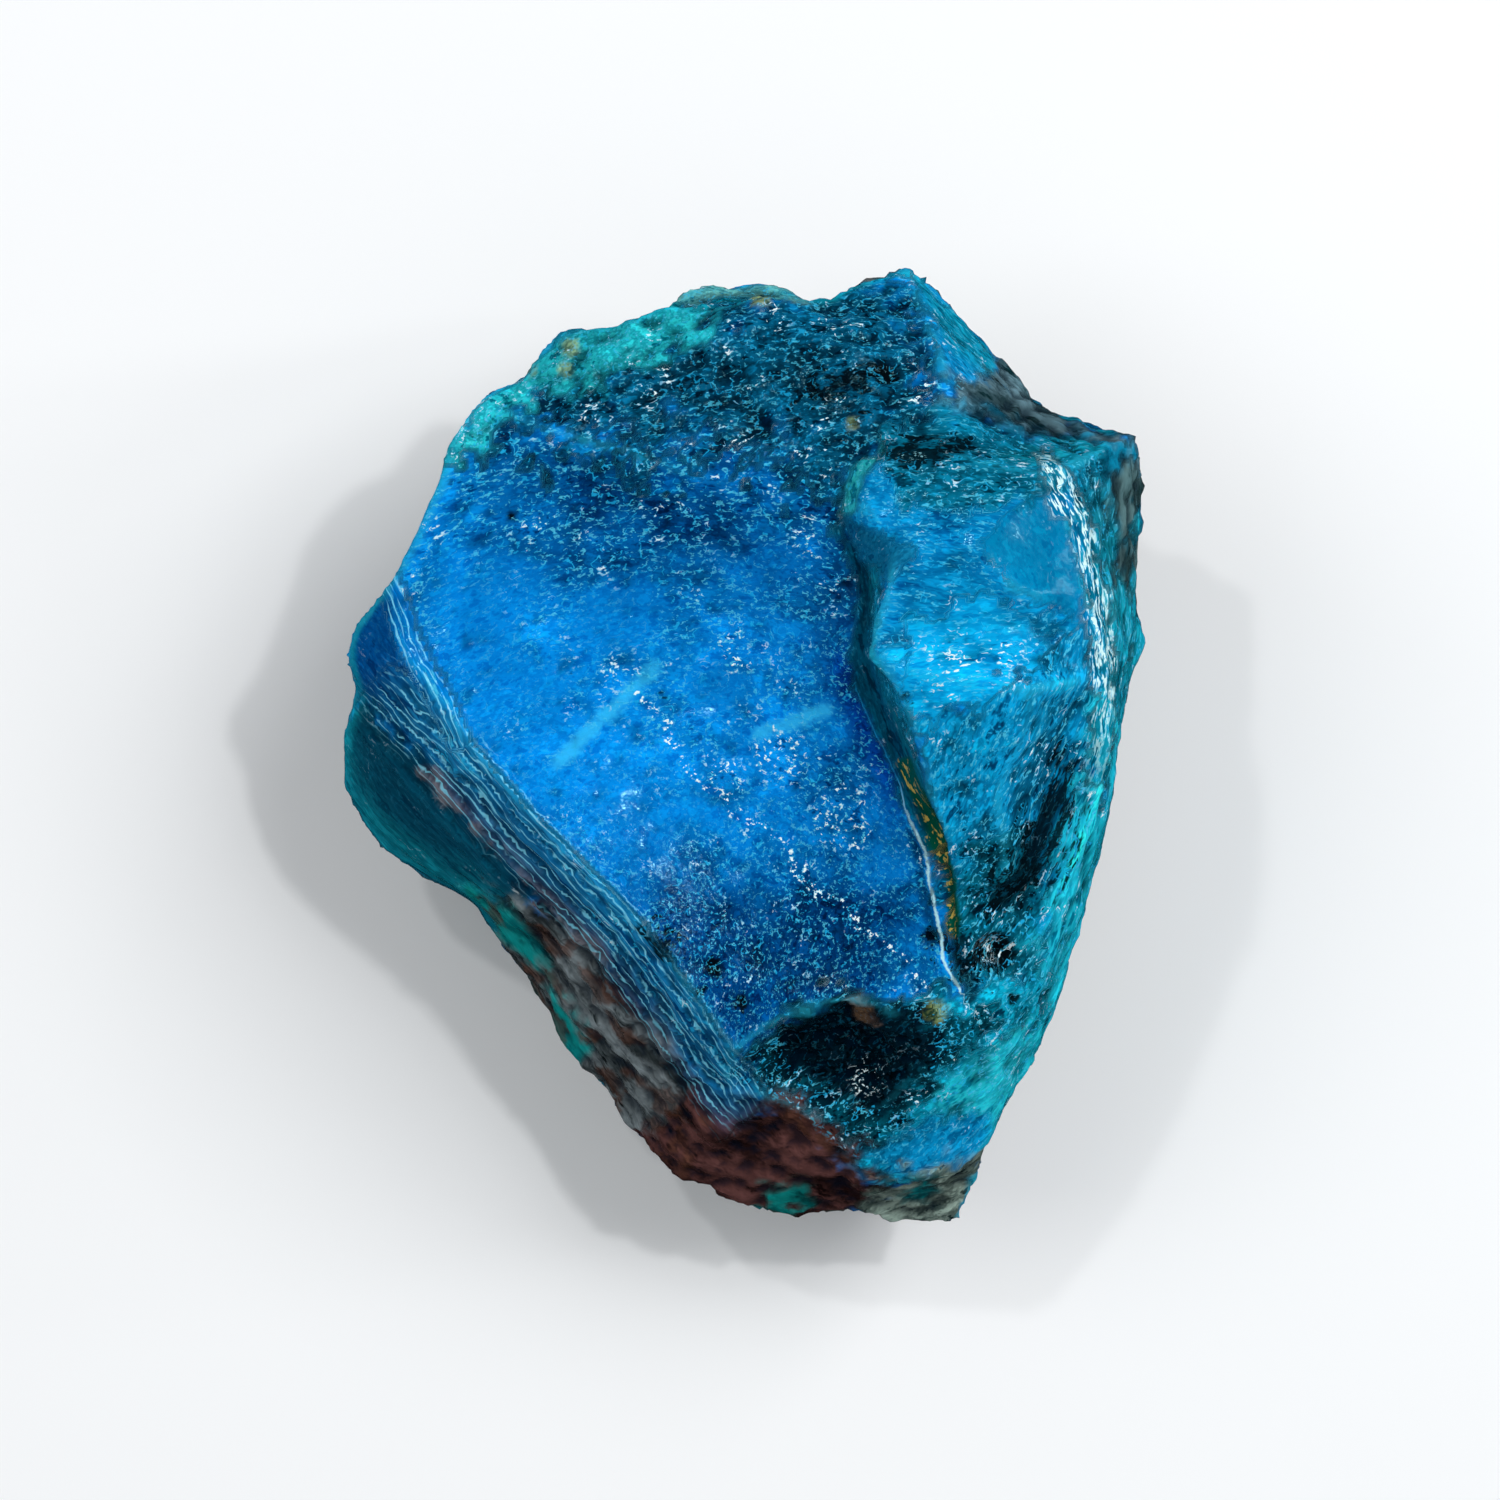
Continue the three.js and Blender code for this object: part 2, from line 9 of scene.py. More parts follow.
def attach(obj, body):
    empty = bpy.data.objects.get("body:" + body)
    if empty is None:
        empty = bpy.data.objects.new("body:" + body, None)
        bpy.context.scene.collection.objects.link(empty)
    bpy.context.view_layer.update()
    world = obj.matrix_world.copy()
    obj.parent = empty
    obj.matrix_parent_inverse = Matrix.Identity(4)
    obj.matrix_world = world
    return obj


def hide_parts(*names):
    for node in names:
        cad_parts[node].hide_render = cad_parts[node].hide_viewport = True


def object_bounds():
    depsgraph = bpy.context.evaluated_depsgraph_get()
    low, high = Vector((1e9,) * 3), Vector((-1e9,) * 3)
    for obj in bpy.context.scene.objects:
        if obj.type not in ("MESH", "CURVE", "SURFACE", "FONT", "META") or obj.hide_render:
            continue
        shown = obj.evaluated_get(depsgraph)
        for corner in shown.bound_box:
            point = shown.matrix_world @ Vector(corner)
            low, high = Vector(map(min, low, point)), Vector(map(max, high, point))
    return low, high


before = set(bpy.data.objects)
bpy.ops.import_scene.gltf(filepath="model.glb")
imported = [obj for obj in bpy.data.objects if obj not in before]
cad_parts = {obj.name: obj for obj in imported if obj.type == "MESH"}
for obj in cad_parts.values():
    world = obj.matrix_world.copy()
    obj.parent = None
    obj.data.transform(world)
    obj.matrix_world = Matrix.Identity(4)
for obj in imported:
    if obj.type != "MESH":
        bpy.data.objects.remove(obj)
cad_low, cad_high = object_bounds()
MM = 0.001

# The camera looks straight down on the stone, which lies on its back with the broken blue
# face up. A long lens keeps the stone's sides out of sight, and the picture spans 68 mm.
PICTURE_SPAN = 68.4 * MM
PICTURE_MIDDLE = (0.41 * MM, 0.02 * MM)
RIM_HEIGHT = 13.0 * MM  # the height of the stone's rim, where the span is measured
LENS_MM = 200.0
SENSOR_MM = 36.0
camera = bpy.data.objects.new("camera", bpy.data.cameras.new("camera"))
camera.data.lens = LENS_MM
camera.data.sensor_width = SENSOR_MM
camera.data.clip_start = 0.01
camera.location = (*PICTURE_MIDDLE, RIM_HEIGHT + PICTURE_SPAN * LENS_MM / SENSOR_MM)
bpy.context.scene.collection.objects.link(camera)
bpy.context.scene.camera = camera
bpy.context.scene.view_settings.view_transform = "Standard"  # keeps the blue as deep as it is

# A plain pale table and soft studio light: two large boxes that light the stone, and two small
# lamps and a low strip whose glints show on the wet-looking facets.
FLOOR_HALF = 1.5
FLOOR_PAINT = (0.93, 0.94, 0.95, 1)
FLOOR_ROUGHNESS = 0.7
STUDIO_TINT = (0.93, 0.97, 1, 1)
STUDIO_STRENGTH = 0.28
floor_mesh = bpy.data.meshes.new("floor")
floor_corners = [(-FLOOR_HALF, -FLOOR_HALF, 0), (FLOOR_HALF, -FLOOR_HALF, 0),
                 (FLOOR_HALF, FLOOR_HALF, 0), (-FLOOR_HALF, FLOOR_HALF, 0)]
floor_mesh.from_pydata(floor_corners, [], [(0, 1, 2, 3)])
floor = bpy.data.objects.new("floor", floor_mesh)
bpy.context.scene.collection.objects.link(floor)
floor_paint = bpy.data.materials.new("floor")
floor_paint.use_nodes = True
floor_paint.node_tree.nodes["Principled BSDF"].inputs["Base Color"].default_value = FLOOR_PAINT
floor_paint.node_tree.nodes["Principled BSDF"].inputs["Roughness"].default_value = FLOOR_ROUGHNESS
floor_mesh.materials.append(floor_paint)
floor.visible_glossy = False  # its white isn't mirrored in the stone's wet sides


def softbox(name, place, width, height, watts, glossy=True):
    """A rectangular studio light at a place in metres, turned towards the stone."""
    light = bpy.data.objects.new(name, bpy.data.lights.new(name, "AREA"))
    light.data.shape = "RECTANGLE"
    light.data.size = width
    light.data.size_y = height
    light.data.energy = watts
    light.location = place
    light.visible_glossy = glossy
    towards_stone = Vector((0, 0, RIM_HEIGHT)) - Vector(place)
    light.rotation_euler = towards_stone.to_track_quat("-Z", "Y").to_euler()
    bpy.context.scene.collection.objects.link(light)


softbox("key", (0.34, 0.26, 0.52), 0.36, 0.36, 2.2, False)
softbox("fill", (-0.42, 0.10, 0.50), 0.40, 0.40, 1.0, False)
softbox("glint", (0.24, 0.16, 0.56), 0.03, 0.03, 0.6)
softbox("spark", (-0.20, 0.26, 0.52), 0.03, 0.03, 0.4)
softbox("strip", (0.46, 0.06, 0.22), 0.03, 0.36, 0.4)
studio = bpy.data.worlds.new("studio")
studio.use_nodes = True
studio.node_tree.nodes["Background"].inputs["Color"].default_value = STUDIO_TINT
studio.node_tree.nodes["Background"].inputs["Strength"].default_value = STUDIO_STRENGTH
studio.cycles_visibility.glossy = False
bpy.context.scene.world = studio

# The stone: one piece of blue chrysocolla chalcedony, broken out of its vein and left
# unworked. It has a broad blue face, a ledge with a raised block behind it, a band of fine
# steps, a dark hollow, and some of the brown matrix that the vein grew on.
MERGE_DISTANCE = 0.002 * MM
SHARP_EDGE = math.radians(22)
FULL_CREASE = math.radians(60)
ROUNDING_LEVELS = 2
GRID = 0.23 * MM  # the size of the finished surface's quads


def broken_skin(solid):
    """The solid's surface in fine even quads, smooth inside each broken face and crisp at its edges."""
    coarse = bmesh.new()
    coarse.from_mesh(solid.data)
    bmesh.ops.remove_doubles(coarse, verts=coarse.verts, dist=MERGE_DISTANCE)
    crease = coarse.edges.layers.float.new("crease_edge")
    for side in coarse.edges:
        bend = side.calc_face_angle(0.0)
        if bend > SHARP_EDGE:
            side[crease] = min(1.0, bend / FULL_CREASE)
    mesh = bpy.data.meshes.new("coarse")
    coarse.to_mesh(mesh)
    coarse.free()
    draft = bpy.data.objects.new("coarse", mesh)
    bpy.context.scene.collection.objects.link(draft)
    draft.modifiers.new("round", "SUBSURF").levels = ROUNDING_LEVELS
    quads = draft.modifiers.new("quads", "REMESH")
    quads.mode = "VOXEL"
    quads.voxel_size = GRID
    finished = draft.evaluated_get(bpy.context.evaluated_depsgraph_get())
    surface = bpy.data.meshes.new_from_object(finished)
    bpy.data.objects.remove(draft)
    surface.name = "stone"
    return surface


# The surface as arrays: its points, and the edges that join them.
skin = broken_skin(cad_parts["stone"])
count = len(skin.vertices)
spots = np.empty(count * 3)
skin.vertices.foreach_get("co", spots)
spots = spots.reshape(-1, 3) / MM  # in millimetres
sides = np.empty(len(skin.edges) * 2, int)
skin.edges.foreach_get("vertices", sides)
sides = sides.reshape(-1, 2)
degree = np.bincount(sides.ravel(), minlength=count)


def evened(values, passes):
    """Values on the surface after each point has taken its neighbours' mean so many times."""
    for _ in range(passes):
        total = np.zeros_like(values)
        columns = total.reshape(count, -1)
        source = values.reshape(count, -1)
        for k in range(columns.shape[1]):
            columns[:, k] = np.bincount(sides[:, 0], source[sides[:, 1], k], count)
            columns[:, k] += np.bincount(sides[:, 1], source[sides[:, 0], k], count)
        values = total / degree.reshape((-1,) + (1,) * (values.ndim - 1))
    return values


# Single points that the grid leaves standing out of thin edges are drawn in a little.
spots += 0.5 * (evened(spots, 1) - spots)


def outward(points):
    """The surface's outward direction at each point."""
    skin.vertices.foreach_set("co", (points * MM).ravel())
    skin.update()
    out = np.empty(count * 3, np.float32)
    skin.vertex_normals.foreach_get("vector", out)
    return out.reshape(-1, 3).astype(float)


LUMP_GAIN = 1.6  # brings the noise to about -1 to 1
GRAIN_STEEPNESS = 1.3  # brings the grains' borders to 0


def lumps(apart, seed, octaves=3, where=None):
    """Soft noise from about -1 to 1, its lumps so many millimetres apart. The seed shifts it."""
    moved = (spots if where is None else where) / apart + seed
    return np.array([noise.fractal(Vector(p), 1.0, 2.0, octaves) for p in moved]) * LUMP_GAIN


def grains(apart, seed):
    """Packed round grains so many millimetres apart: 1 at their middles, falling to 0 between them."""
    moved = spots / apart + seed
    nearest = np.array([noise.voronoi(Vector(p))[0][0] for p in moved])
    return np.clip(1.0 - nearest * GRAIN_STEEPNESS, 0, 1)


def ramp(values, low, high):
    """0 below low, 1 above high, and an even S between."""
    t = np.clip((values - low) / (high - low), 0, 1)
    return t * t * (3 - 2 * t)


def stretch(values, begin, full, fade, end):
    """1 from full to fade, and 0 before begin and past end."""
    return ramp(values, begin, full) * (1 - ramp(values, fade, end))


# What faces down is the back of the vein: top is 1 on the face and the sides, and 0 there. On the
# steep sides the minerals' borders wander.
WANDER = 2.2  # millimetres
FACING_PASSES = 14  # evens out small bumps and keeps the broken faces
facing = evened(outward(spots)[:, 2], FACING_PASSES)
top = ramp(facing, -0.34, -0.10)
steep = 1 - ramp(facing, 0.15, 0.55)
wander = np.stack([lumps(3.4, 101.0), lumps(3.4, 103.0)], axis=1) * (WANDER * steep)[:, None]


def line_reach(line, flat=spots[:, :2]):
    """For a line seen from above: each point's distance to its left, and how far along it is."""
    best = np.full(count, 1e9)
    side = np.zeros(count)
    along = np.zeros(count)
    start = 0.0
    for a, b in zip(np.array(line[:-1]), np.array(line[1:])):
        way = b - a
        length = np.linalg.norm(way)
        t = np.clip((flat - a) @ way / length ** 2, 0, 1)
        gap = flat - a - t[:, None] * way
        far = np.linalg.norm(gap, axis=1)
        nearer = far < best
        turn = gap[:, 0] * way[1] - gap[:, 1] * way[0]
        best[nearer] = far[nearer]
        side[nearer] = np.sign(turn[nearer])
        along[nearer] = start + t[nearer] * length
        start += length
    return best * np.where(side < 0, 1, -1), along


def depth_inside(outline):
    """How far inside an outline, seen from above, each point is, in millimetres. Outside is negative."""
    flat = spots[:, :2] + wander
    x, y = flat.T
    within = np.zeros(count, bool)
    for (ax, ay), (bx, by) in zip(outline, outline[1:] + outline[:1]):
        if ay != by:
            within ^= ((ay > y) != (by > y)) & (x < (bx - ax) * (y - ay) / (by - ay) + ax)
    reach = np.abs(line_reach(outline + outline[:1], flat)[0])
    return np.where(within, reach, -reach)


# Where each mineral shows, as an outline seen from above in millimetres. The outlines run
# past the stone's rim where the mineral reaches it.
ZONES = {
    "granular": [(-10.6, 17.5), (-6.4, 20.3), (5.9, 22.7), (8.2, 22.0), (8.8, 19.2), (9.3, 16.0),
                 (11.8, 14.2), (15.0, 12.8), (10.0, 12.0), (5.0, 11.3), (2.2, 12.8), (-1.9, 13.8),
                 (-5.5, 13.4), (-8.3, 14.2), (-11.2, 14.5)],
    "crust": [(-12.5, 15.8), (-9.6, 18.6), (-7.3, 20.4), (-1.6, 20.8), (-1.5, 18.7), (-4.1, 17.4),
              (-6.4, 16.6), (-8.3, 16.3), (-10.1, 15.4), (-11.4, 14.2), (-13.4, 13.0)],
    "peak": [(7.9, 22.9), (9.9, 21.3), (14.0, 17.4), (13.0, 16.2), (11.8, 15.9), (10.1, 14.8),
             (9.3, 16.0), (8.8, 19.2)],
    "block": [(4.5, 10.7), (5.0, 11.9), (6.2, 13.0), (8.3, 12.9), (14.4, 13.0), (16.5, 11.4), (16.8, 8.7),
              (16.6, 4.5), (14.1, 4.0), (12.3, 3.6), (10.0, 1.8), (7.5, 1.4), (5.9, 3.2),
              (5.3, 4.5), (5.8, 6.5), (6.1, 8.0), (5.3, 8.5), (4.7, 10.2)],
    "verge": [(4.3, 10.4), (4.7, 12.0), (5.8, 13.3), (6.6, 14.2), (7.0, 14.0), (6.2, 12.9), (5.3, 11.8),
              (4.9, 10.8)],
    "wedge": [(4.6, 10.5), (6.2, 9.7), (7.7, 8.8), (6.5, 7.5), (5.6, 8.2), (4.9, 9.6)],
    "undershoulder": [(6.2, 12.4), (6.6, 14.4), (9.6, 15.4), (12.0, 14.9), (14.5, 14.3), (18.3, 14.4),
                      (17.0, 12.0), (13.6, 11.2), (9.0, 10.8), (7.0, 11.2)],
    "slope": [(7.5, 1.6), (10.0, 2.3), (13.6, 4.8), (16.8, 6.2), (17.2, 2.8), (16.8, -0.4), (15.8, -3.6),
              (15.2, -6.8), (14.6, -11.4), (9.9, -11.6), (9.3, -8.0), (8.2, -2.3)],
    "brow": [(7.4, 5.6), (9.4, 6.8), (12.2, 6.8), (14.8, 5.6), (12.8, 3.6), (10.4, 1.8),
             (8.0, 1.6), (6.6, 3.4)],
    "slope_foot": [(9.6, -4.4), (12.8, -3.0), (14.4, -7.0), (13.8, -10.8), (10.0, -11.4), (9.4, -8.0)],
    "facet": [(13.4, 12.1), (14.8, 11.3), (15.4, 8.7), (15.2, 5.9), (12.3, 7.2), (10.7, 9.2)],
    "flank": [(13.6, 13.0), (15.6, 14.4), (20.0, 15.4), (20.0, 0.0), (16.0, -1.8), (15.9, 2.8),
              (15.7, 6.9), (14.9, 10.1)],
    "dusk": [(16.2, 13.4), (17.2, 14.9), (20.0, 15.0), (20.0, 4.0), (17.6, 6.4), (16.9, 10.0)],
    "shoulder": [(9.3, 16.1), (13.6, 18.4), (16.0, 18.2), (20.4, 17.0), (18.4, 13.7), (14.5, 13.9),
                 (11.8, 14.4), (9.5, 15.1)],
    "edge": [(16.0, 2.6), (20.0, 2.0), (20.0, -6.0), (15.0, -18.0), (10.7, -20.0), (11.2, -17.4),
             (12.4, -13.4), (13.2, -10.6), (14.0, -6.0), (15.2, -1.4)],
    "low": [(0.2, -14.6), (4.0, -13.0), (7.0, -11.4), (9.6, -10.6), (13.7, -10.2), (14.2, -12.3),
            (13.6, -18.0), (10.8, -20.4), (6.0, -20.4), (1.6, -16.9), (-0.4, -15.6)],
    "low_glow": [(8.4, -15.6), (10.6, -14.0), (13.2, -12.4), (14.4, -14.5), (13.0, -17.0), (10.0, -17.2)],
    "low_foot": [(5.0, -18.4), (8.2, -16.8), (11.4, -16.4), (12.2, -18.2), (10.4, -20.0), (7.0, -19.6)],
    "gloom": [(-0.1, -14.3), (2.0, -11.7), (5.0, -10.9), (8.2, -11.6), (10.4, -11.6), (12.2, -12.2),
              (10.4, -13.6), (9.4, -14.6), (7.8, -16.8), (5.9, -18.4), (3.2, -17.6), (0.6, -15.6)],
    "inclusion": [(4.7, -11.2), (5.4, -10.9), (6.3, -12.2), (5.5, -12.7)],
    "hump": [(-2.4, 20.9), (0.5, 20.7), (2.4, 20.3), (3.2, 21.2), (2.6, 22.8), (-2.4, 22.8)],
    "hollow": [(1.6, -12.8), (2.6, -11.6), (5.0, -11.0), (7.4, -11.5), (8.9, -12.6), (8.6, -14.2),
               (7.4, -16.2), (5.4, -16.2), (3.4, -15.2), (1.9, -14.2)],
    "corner": [(-19.5, 4.4), (-17.5, 8.5), (-15.8, 6.8), (-15.6, 4.4), (-13.0, 1.5), (-14.8, 0.3),
               (-17.6, 2.8)],
    "lobe": [(-20.0, 2.8), (-17.6, 2.8), (-14.8, 0.3), (-12.1, -1.9), (-9.4, -4.5), (-8.3, -6.4),
             (-11.0, -8.4), (-12.5, -8.5), (-17.5, -6.0), (-20.0, -1.3)],
    "seam": [(-14.6, -1.2), (-13.3, -0.7), (-11.2, -2.2), (-8.5, -4.7), (-5.6, -8.6), (-5.9, -9.6),
             (-9.2, -6.9), (-11.2, -4.3)],
    "rim": [(-14.0, -6.4), (-10.8, -7.0), (-8.9, -10.0), (-6.8, -13.6), (-8.6, -15.4), (-14.0, -9.5)],
    "stain": [(1.2, -19.9), (3.2, -19.8), (3.4, -21.0), (1.2, -21.2)],
    "stain_east": [(7.6, -19.4), (9.0, -19.6), (8.8, -21.0), (7.5, -20.8)],
    "matrix": [(-13.0, -7.2), (-10.6, -6.6), (-8.3, -6.4), (-4.6, -9.9), (-1.9, -14.3),
               (-0.3, -15.3), (-1.9, -18.2), (-2.8, -21.5), (-6.5, -18.5), (-11.0, -13.2)],
    "brown": [(-1.9, -14.8), (0.0, -15.2), (2.7, -16.3), (5.4, -18.7), (6.8, -19.8), (6.2, -23.0),
              (-3.5, -23.0), (-4.7, -18.6)],
    # The ledge's wall, darkened with painted shade.
    "shaded_riser": [(4.4, 10.4), (5.3, 8.7), (5.9, 8.0), (6.2, 6.6), (5.7, 4.6), (6.3, 3.2), (7.4, 1.6),
              (8.3, -1.6), (9.2, -4.5), (8.4, -4.4), (7.3, -2.4), (6.4, -0.1), (5.7, 1.3), (5.1, 2.7),
              (4.9, 4.4), (5.3, 6.5), (5.2, 8.0), (4.2, 9.9)],
    "foot": [(5.9, -20.0), (7.3, -19.6), (10.9, -18.4), (12.0, -23.0), (5.9, -23.0)],
}
# How each mineral broke: the height of its lumps in millimetres, how grainy it is from 0 to 1,
# and the way its streaks run in degrees from +X, with their length over their width.
BREAKS = {
    "granular": (0.22, 1.00, 6, 1.8),
    "crust": (0.10, 0.75, 30, 1.2),
    "peak": (0.08, 0.40, -52, 2.8),
    "block": (0.06, 0.60, -6, 3.2),
    "verge": (0.07, 0.50, 60, 1.6),
    "wedge": (0.03, 0.15, 30, 2.0),
    "slope": (0.10, 0.80, 68, 3.6),
    "slope_foot": (0.14, 0.90, 62, 2.4),
    "brow": (0.05, 0.50, 8, 3.0),
    "facet": (0.015, 0.06, -60, 1.5),
    "flank": (0.09, 0.70, -82, 3.6),
    "dusk": (0.12, 0.60, 80, 3.2),
    "shoulder": (0.12, 0.65, -22, 3.6),
    "edge": (0.09, 0.75, 72, 3.4),
    "undershoulder": (0.08, 0.70, -4, 2.6),
    "low": (0.12, 0.80, 40, 1.8),
    "low_glow": (0.10, 0.60, 42, 2.4),
    "low_foot": (0.07, 0.40, 48, 2.0),
    "gloom": (0.16, 0.90, 30, 1.4),
    "hollow": (0.26, 0.90, 30, 1.3),
    "inclusion": (0.04, 0.30, -61, 7.0),
    "hump": (0.14, 0.60, 10, 1.3),
    "corner": (0.03, 0.10, -40, 3.0),
    "lobe": (0.05, 0.10, -42, 4.0),
    "matrix": (0.18, 0.60, -54, 3.2),
    "seam": (0.10, 0.45, -44, 3.6),
    "brown": (0.20, 0.60, -38, 2.2),
    "shaded_riser": (0.03, 0.15, -70, 2.5),
    "foot": (0.12, 0.60, 56, 2.6),
    "stain": (0.10, 0.50, 0, 1.4),
    "stain_east": (0.10, 0.50, 0, 1.4),
    "rim": (0.08, 0.30, -54, 3.0),
}
# Each mineral's raggedness and softness at its border in millimetres, and its darkest and
# lightest tone as a screen shows them, from 0 to 255.
TONES = {
    "granular": (2.2, 2.2, (0, 22, 38), (4, 90, 126)),
    "crust": (0.7, 0.4, (0, 84, 102), (34, 176, 184)),
    "peak": (0.5, 0.4, (0, 66, 106), (8, 138, 196)),
    "block": (0.5, 0.4, (0, 76, 132), (6, 142, 200)),
    "verge": (0.3, 0.25, (0, 78, 100), (40, 164, 164)),
    "wedge": (0.2, 0.2, (0, 66, 104), (14, 112, 152)),
    "undershoulder": (0.7, 0.6, (0, 42, 60), (6, 120, 154)),
    "slope": (0.6, 0.4, (0, 60, 100), (8, 150, 202)),
    "slope_foot": (0.9, 0.8, (0, 22, 34), (4, 104, 130)),
    "brow": (0.8, 0.9, (0, 118, 180), (8, 170, 224)),
    "facet": (0.3, 0.25, (0, 98, 148), (2, 132, 178)),
    "flank": (0.6, 0.5, (0, 74, 94), (20, 142, 172)),
    "dusk": (0.7, 0.5, (8, 34, 38), (84, 116, 120)),
    "shoulder": (0.8, 0.5, (4, 30, 34), (92, 124, 136)),
    "edge": (0.8, 0.6, (0, 108, 138), (34, 196, 218)),
    "low": (0.8, 0.6, (0, 48, 72), (10, 158, 188)),
    "low_glow": (0.8, 0.6, (0, 116, 142), (38, 196, 208)),
    "low_foot": (0.6, 0.5, (0, 84, 130), (8, 146, 200)),
    "gloom": (0.8, 0.5, (0, 16, 26), (2, 78, 96)),
    "hollow": (0.9, 0.5, (0, 4, 7), (2, 24, 36)),
    "inclusion": (0.1, 0.12, (10, 9, 9), (112, 88, 68)),
    "hump": (0.3, 0.3, (34, 66, 66), (132, 182, 158)),
    "corner": (0.2, 0.2, (0, 50, 104), (2, 84, 152)),
    "lobe": (0.6, 0.4, (0, 48, 72), (6, 78, 102)),
    "matrix": (0.9, 0.5, (6, 16, 18), (112, 122, 126)),
    "seam": (0.4, 0.25, (10, 26, 32), (132, 128, 134)),
    "brown": (0.9, 0.5, (18, 8, 8), (88, 56, 54)),
    # The ledge's wall: its darker tones are painted shade.
    "shaded_riser": (0.2, 0.2, (0, 42, 66), (0, 96, 128)),
    "foot": (0.7, 0.4, (14, 32, 32), (140, 160, 150)),
    "stain": (0.4, 0.3, (0, 60, 62), (10, 128, 124)),
    "stain_east": (0.4, 0.3, (0, 50, 58), (10, 120, 124)),
    "rim": (0.4, 0.4, (0, 84, 92), (16, 156, 154)),
}
# Lines on the face, seen from above in millimetres, that marks and relief follow.
LINES = {
    "band": [(-17.0, 5.2), (-13.0, 1.5), (-9.4, -2.7), (-4.6, -7.5), (-2.3, -10.7), (-0.3, -13.7),
             (2.0, -16.5)],
    "lip": [(5.0, 3.6), (5.2, 2.7), (5.8, 1.3), (6.5, -0.1), (7.2, -1.7), (7.4, -2.6), (8.4, -4.5),
            (8.5, -5.5), (8.8, -7.0), (9.1, -8.4), (9.1, -9.4), (9.9, -10.8)],
    "vein": [(7.4, -0.6), (7.8, -1.7), (8.4, -3.0), (8.9, -4.5), (9.3, -5.6), (9.5, -7.1), (9.7, -8.3)],
    "crest": [(13.6, 12.6), (15.0, 10.1), (15.7, 6.9), (16.2, 3.2), (16.0, 0.0), (15.0, -5.0),
              (13.2, -11.0), (10.9, -18.2)],
    # The chain is a line of painted white glints.
    "chain": [(-4.5, 2.5), (-2.9, 0.4), (-1.9, -1.4), (0.2, -2.9), (2.9, -5.5), (6.3, -8.6), (8.2, -10.6)],
    "rust": [(1.4, -15.8), (3.2, -17.3), (5.0, -18.8)],
    "corner_edge": [(-16.3, 8.5), (-15.1, 5.0), (-13.2, 1.6), (-12.4, -0.4)],
    "cloud_west": [(-8.2, -0.5), (-6.4, 1.3), (-3.9, 3.7)],
    "cloud_east": [(0.8, 0.8), (2.2, 1.2), (3.8, 1.8)],
}
# Black manganese stains, as outlines.
SOOT = [
    [(14.2, 0.0), (15.1, -0.4), (15.0, -2.6), (14.3, -4.7), (13.5, -6.1), (12.2, -6.9), (11.8, -5.8),
     (12.7, -3.6), (13.6, -1.8)],
    [(2.9, 16.3), (4.2, 17.1), (5.9, 16.9), (5.9, 16.1), (4.5, 15.7), (3.0, 15.8)],
    [(6.6, 13.9), (8.0, 14.1), (10.2, 13.8), (10.0, 13.2), (8.0, 13.0), (6.8, 13.2)],
    [(9.3, -8.0), (10.1, -8.3), (10.5, -10.2), (9.8, -10.4), (9.3, -9.4)],
    [(11.2, -5.4), (12.4, -5.2), (12.8, -6.4), (12.0, -7.4), (11.2, -7.0)],
    [(-4.2, -8.0), (-3.2, -8.4), (-2.7, -9.6), (-3.6, -9.8), (-4.2, -9.2)],
]
field = {name: depth_inside(outline) for name, outline in ZONES.items()}
reach = {name: line_reach(line) for name, line in LINES.items()}
field["soot"] = np.max([depth_inside(outline) for outline in SOOT], axis=0)

# Round pits, as place, radius and depth. The large one beside the ledge holds crystals.
PITS = [(11.5, -9.2, 1.05, 0.80), (6.4, 17.1, 0.75, 0.5), (4.6, 7.5, 0.20, 0.2),
        (-1.2, -9.8, 0.50, 0.3), (0.0, -11.3, 0.40, 0.3), (-3.3, -8.2, 0.28, 0.2),
        (-10.4, 10.6, 0.26, 0.2), (7.3, 2.4, 0.20, 0.2), (-1.8, -10.9, 0.32, 0.25),
        (8.5, -8.5, 0.42, 0.25), (12.3, -11.2, 0.30, 0.2), (-7.6, 3.4, 0.14, 0.1),
        (-3.6, 2.6, 0.12, 0.1), (2.2, -10.6, 0.24, 0.15)]
# Druses of tiny crystals, as place and radius: they are grainier, and white glints are painted on them.
DRUSES = [(2.7, 9.4, 0.9), (-0.5, 5.0, 0.9), (-0.3, 4.4, 0.9), (-0.7, -1.3, 1.2), (9.6, 4.2, 1.5),
          (11.8, 4.4, 1.3), (8.8, 2.6, 1.0), (5.7, -14.8, 1.1), (11.6, -9.1, 0.7), (9.1, -5.0, 0.8),
          (13.4, -0.4, 1.0), (1.8, -0.2, 1.6), (4.6, -3.0, 2.0)]
# Yellow-green flecks, as place and radius.
FLECKS = [(8.9, -11.8, 0.6), (5.1, 14.7, 0.35), (0.9, 20.4, 0.7), (-7.7, 18.2, 0.5), (-7.8, 17.2, 0.4),
          (-9.6, 17.3, 0.4)]
# Where the blue is brighter or deeper than elsewhere, as place, radius and gain.
GLOWS = [(-8.5, 3.2, 4.5, 0.50), (-1.9, 5.0, 3.5, 0.25), (-2.4, -0.8, 3.2, 0.40), (-6.0, -0.8, 3.0, 0.35),
         (-2.0, 11.8, 5.4, -0.90), (5.0, 4.0, 1.9, -0.80), (5.8, 0.5, 1.6, -0.65), (4.4, -7.8, 3.6, -0.85),
         (-3.4, -7.4, 3.4, -1.10), (-0.2, -11.0, 3.2, -1.40), (3.6, -10.6, 2.6, -1.30),
         (-11.5, 13.0, 2.5, -0.25), (-7.5, 10.8, 4.0, -0.60), (3.5, 9.0, 3.0, -0.50)]
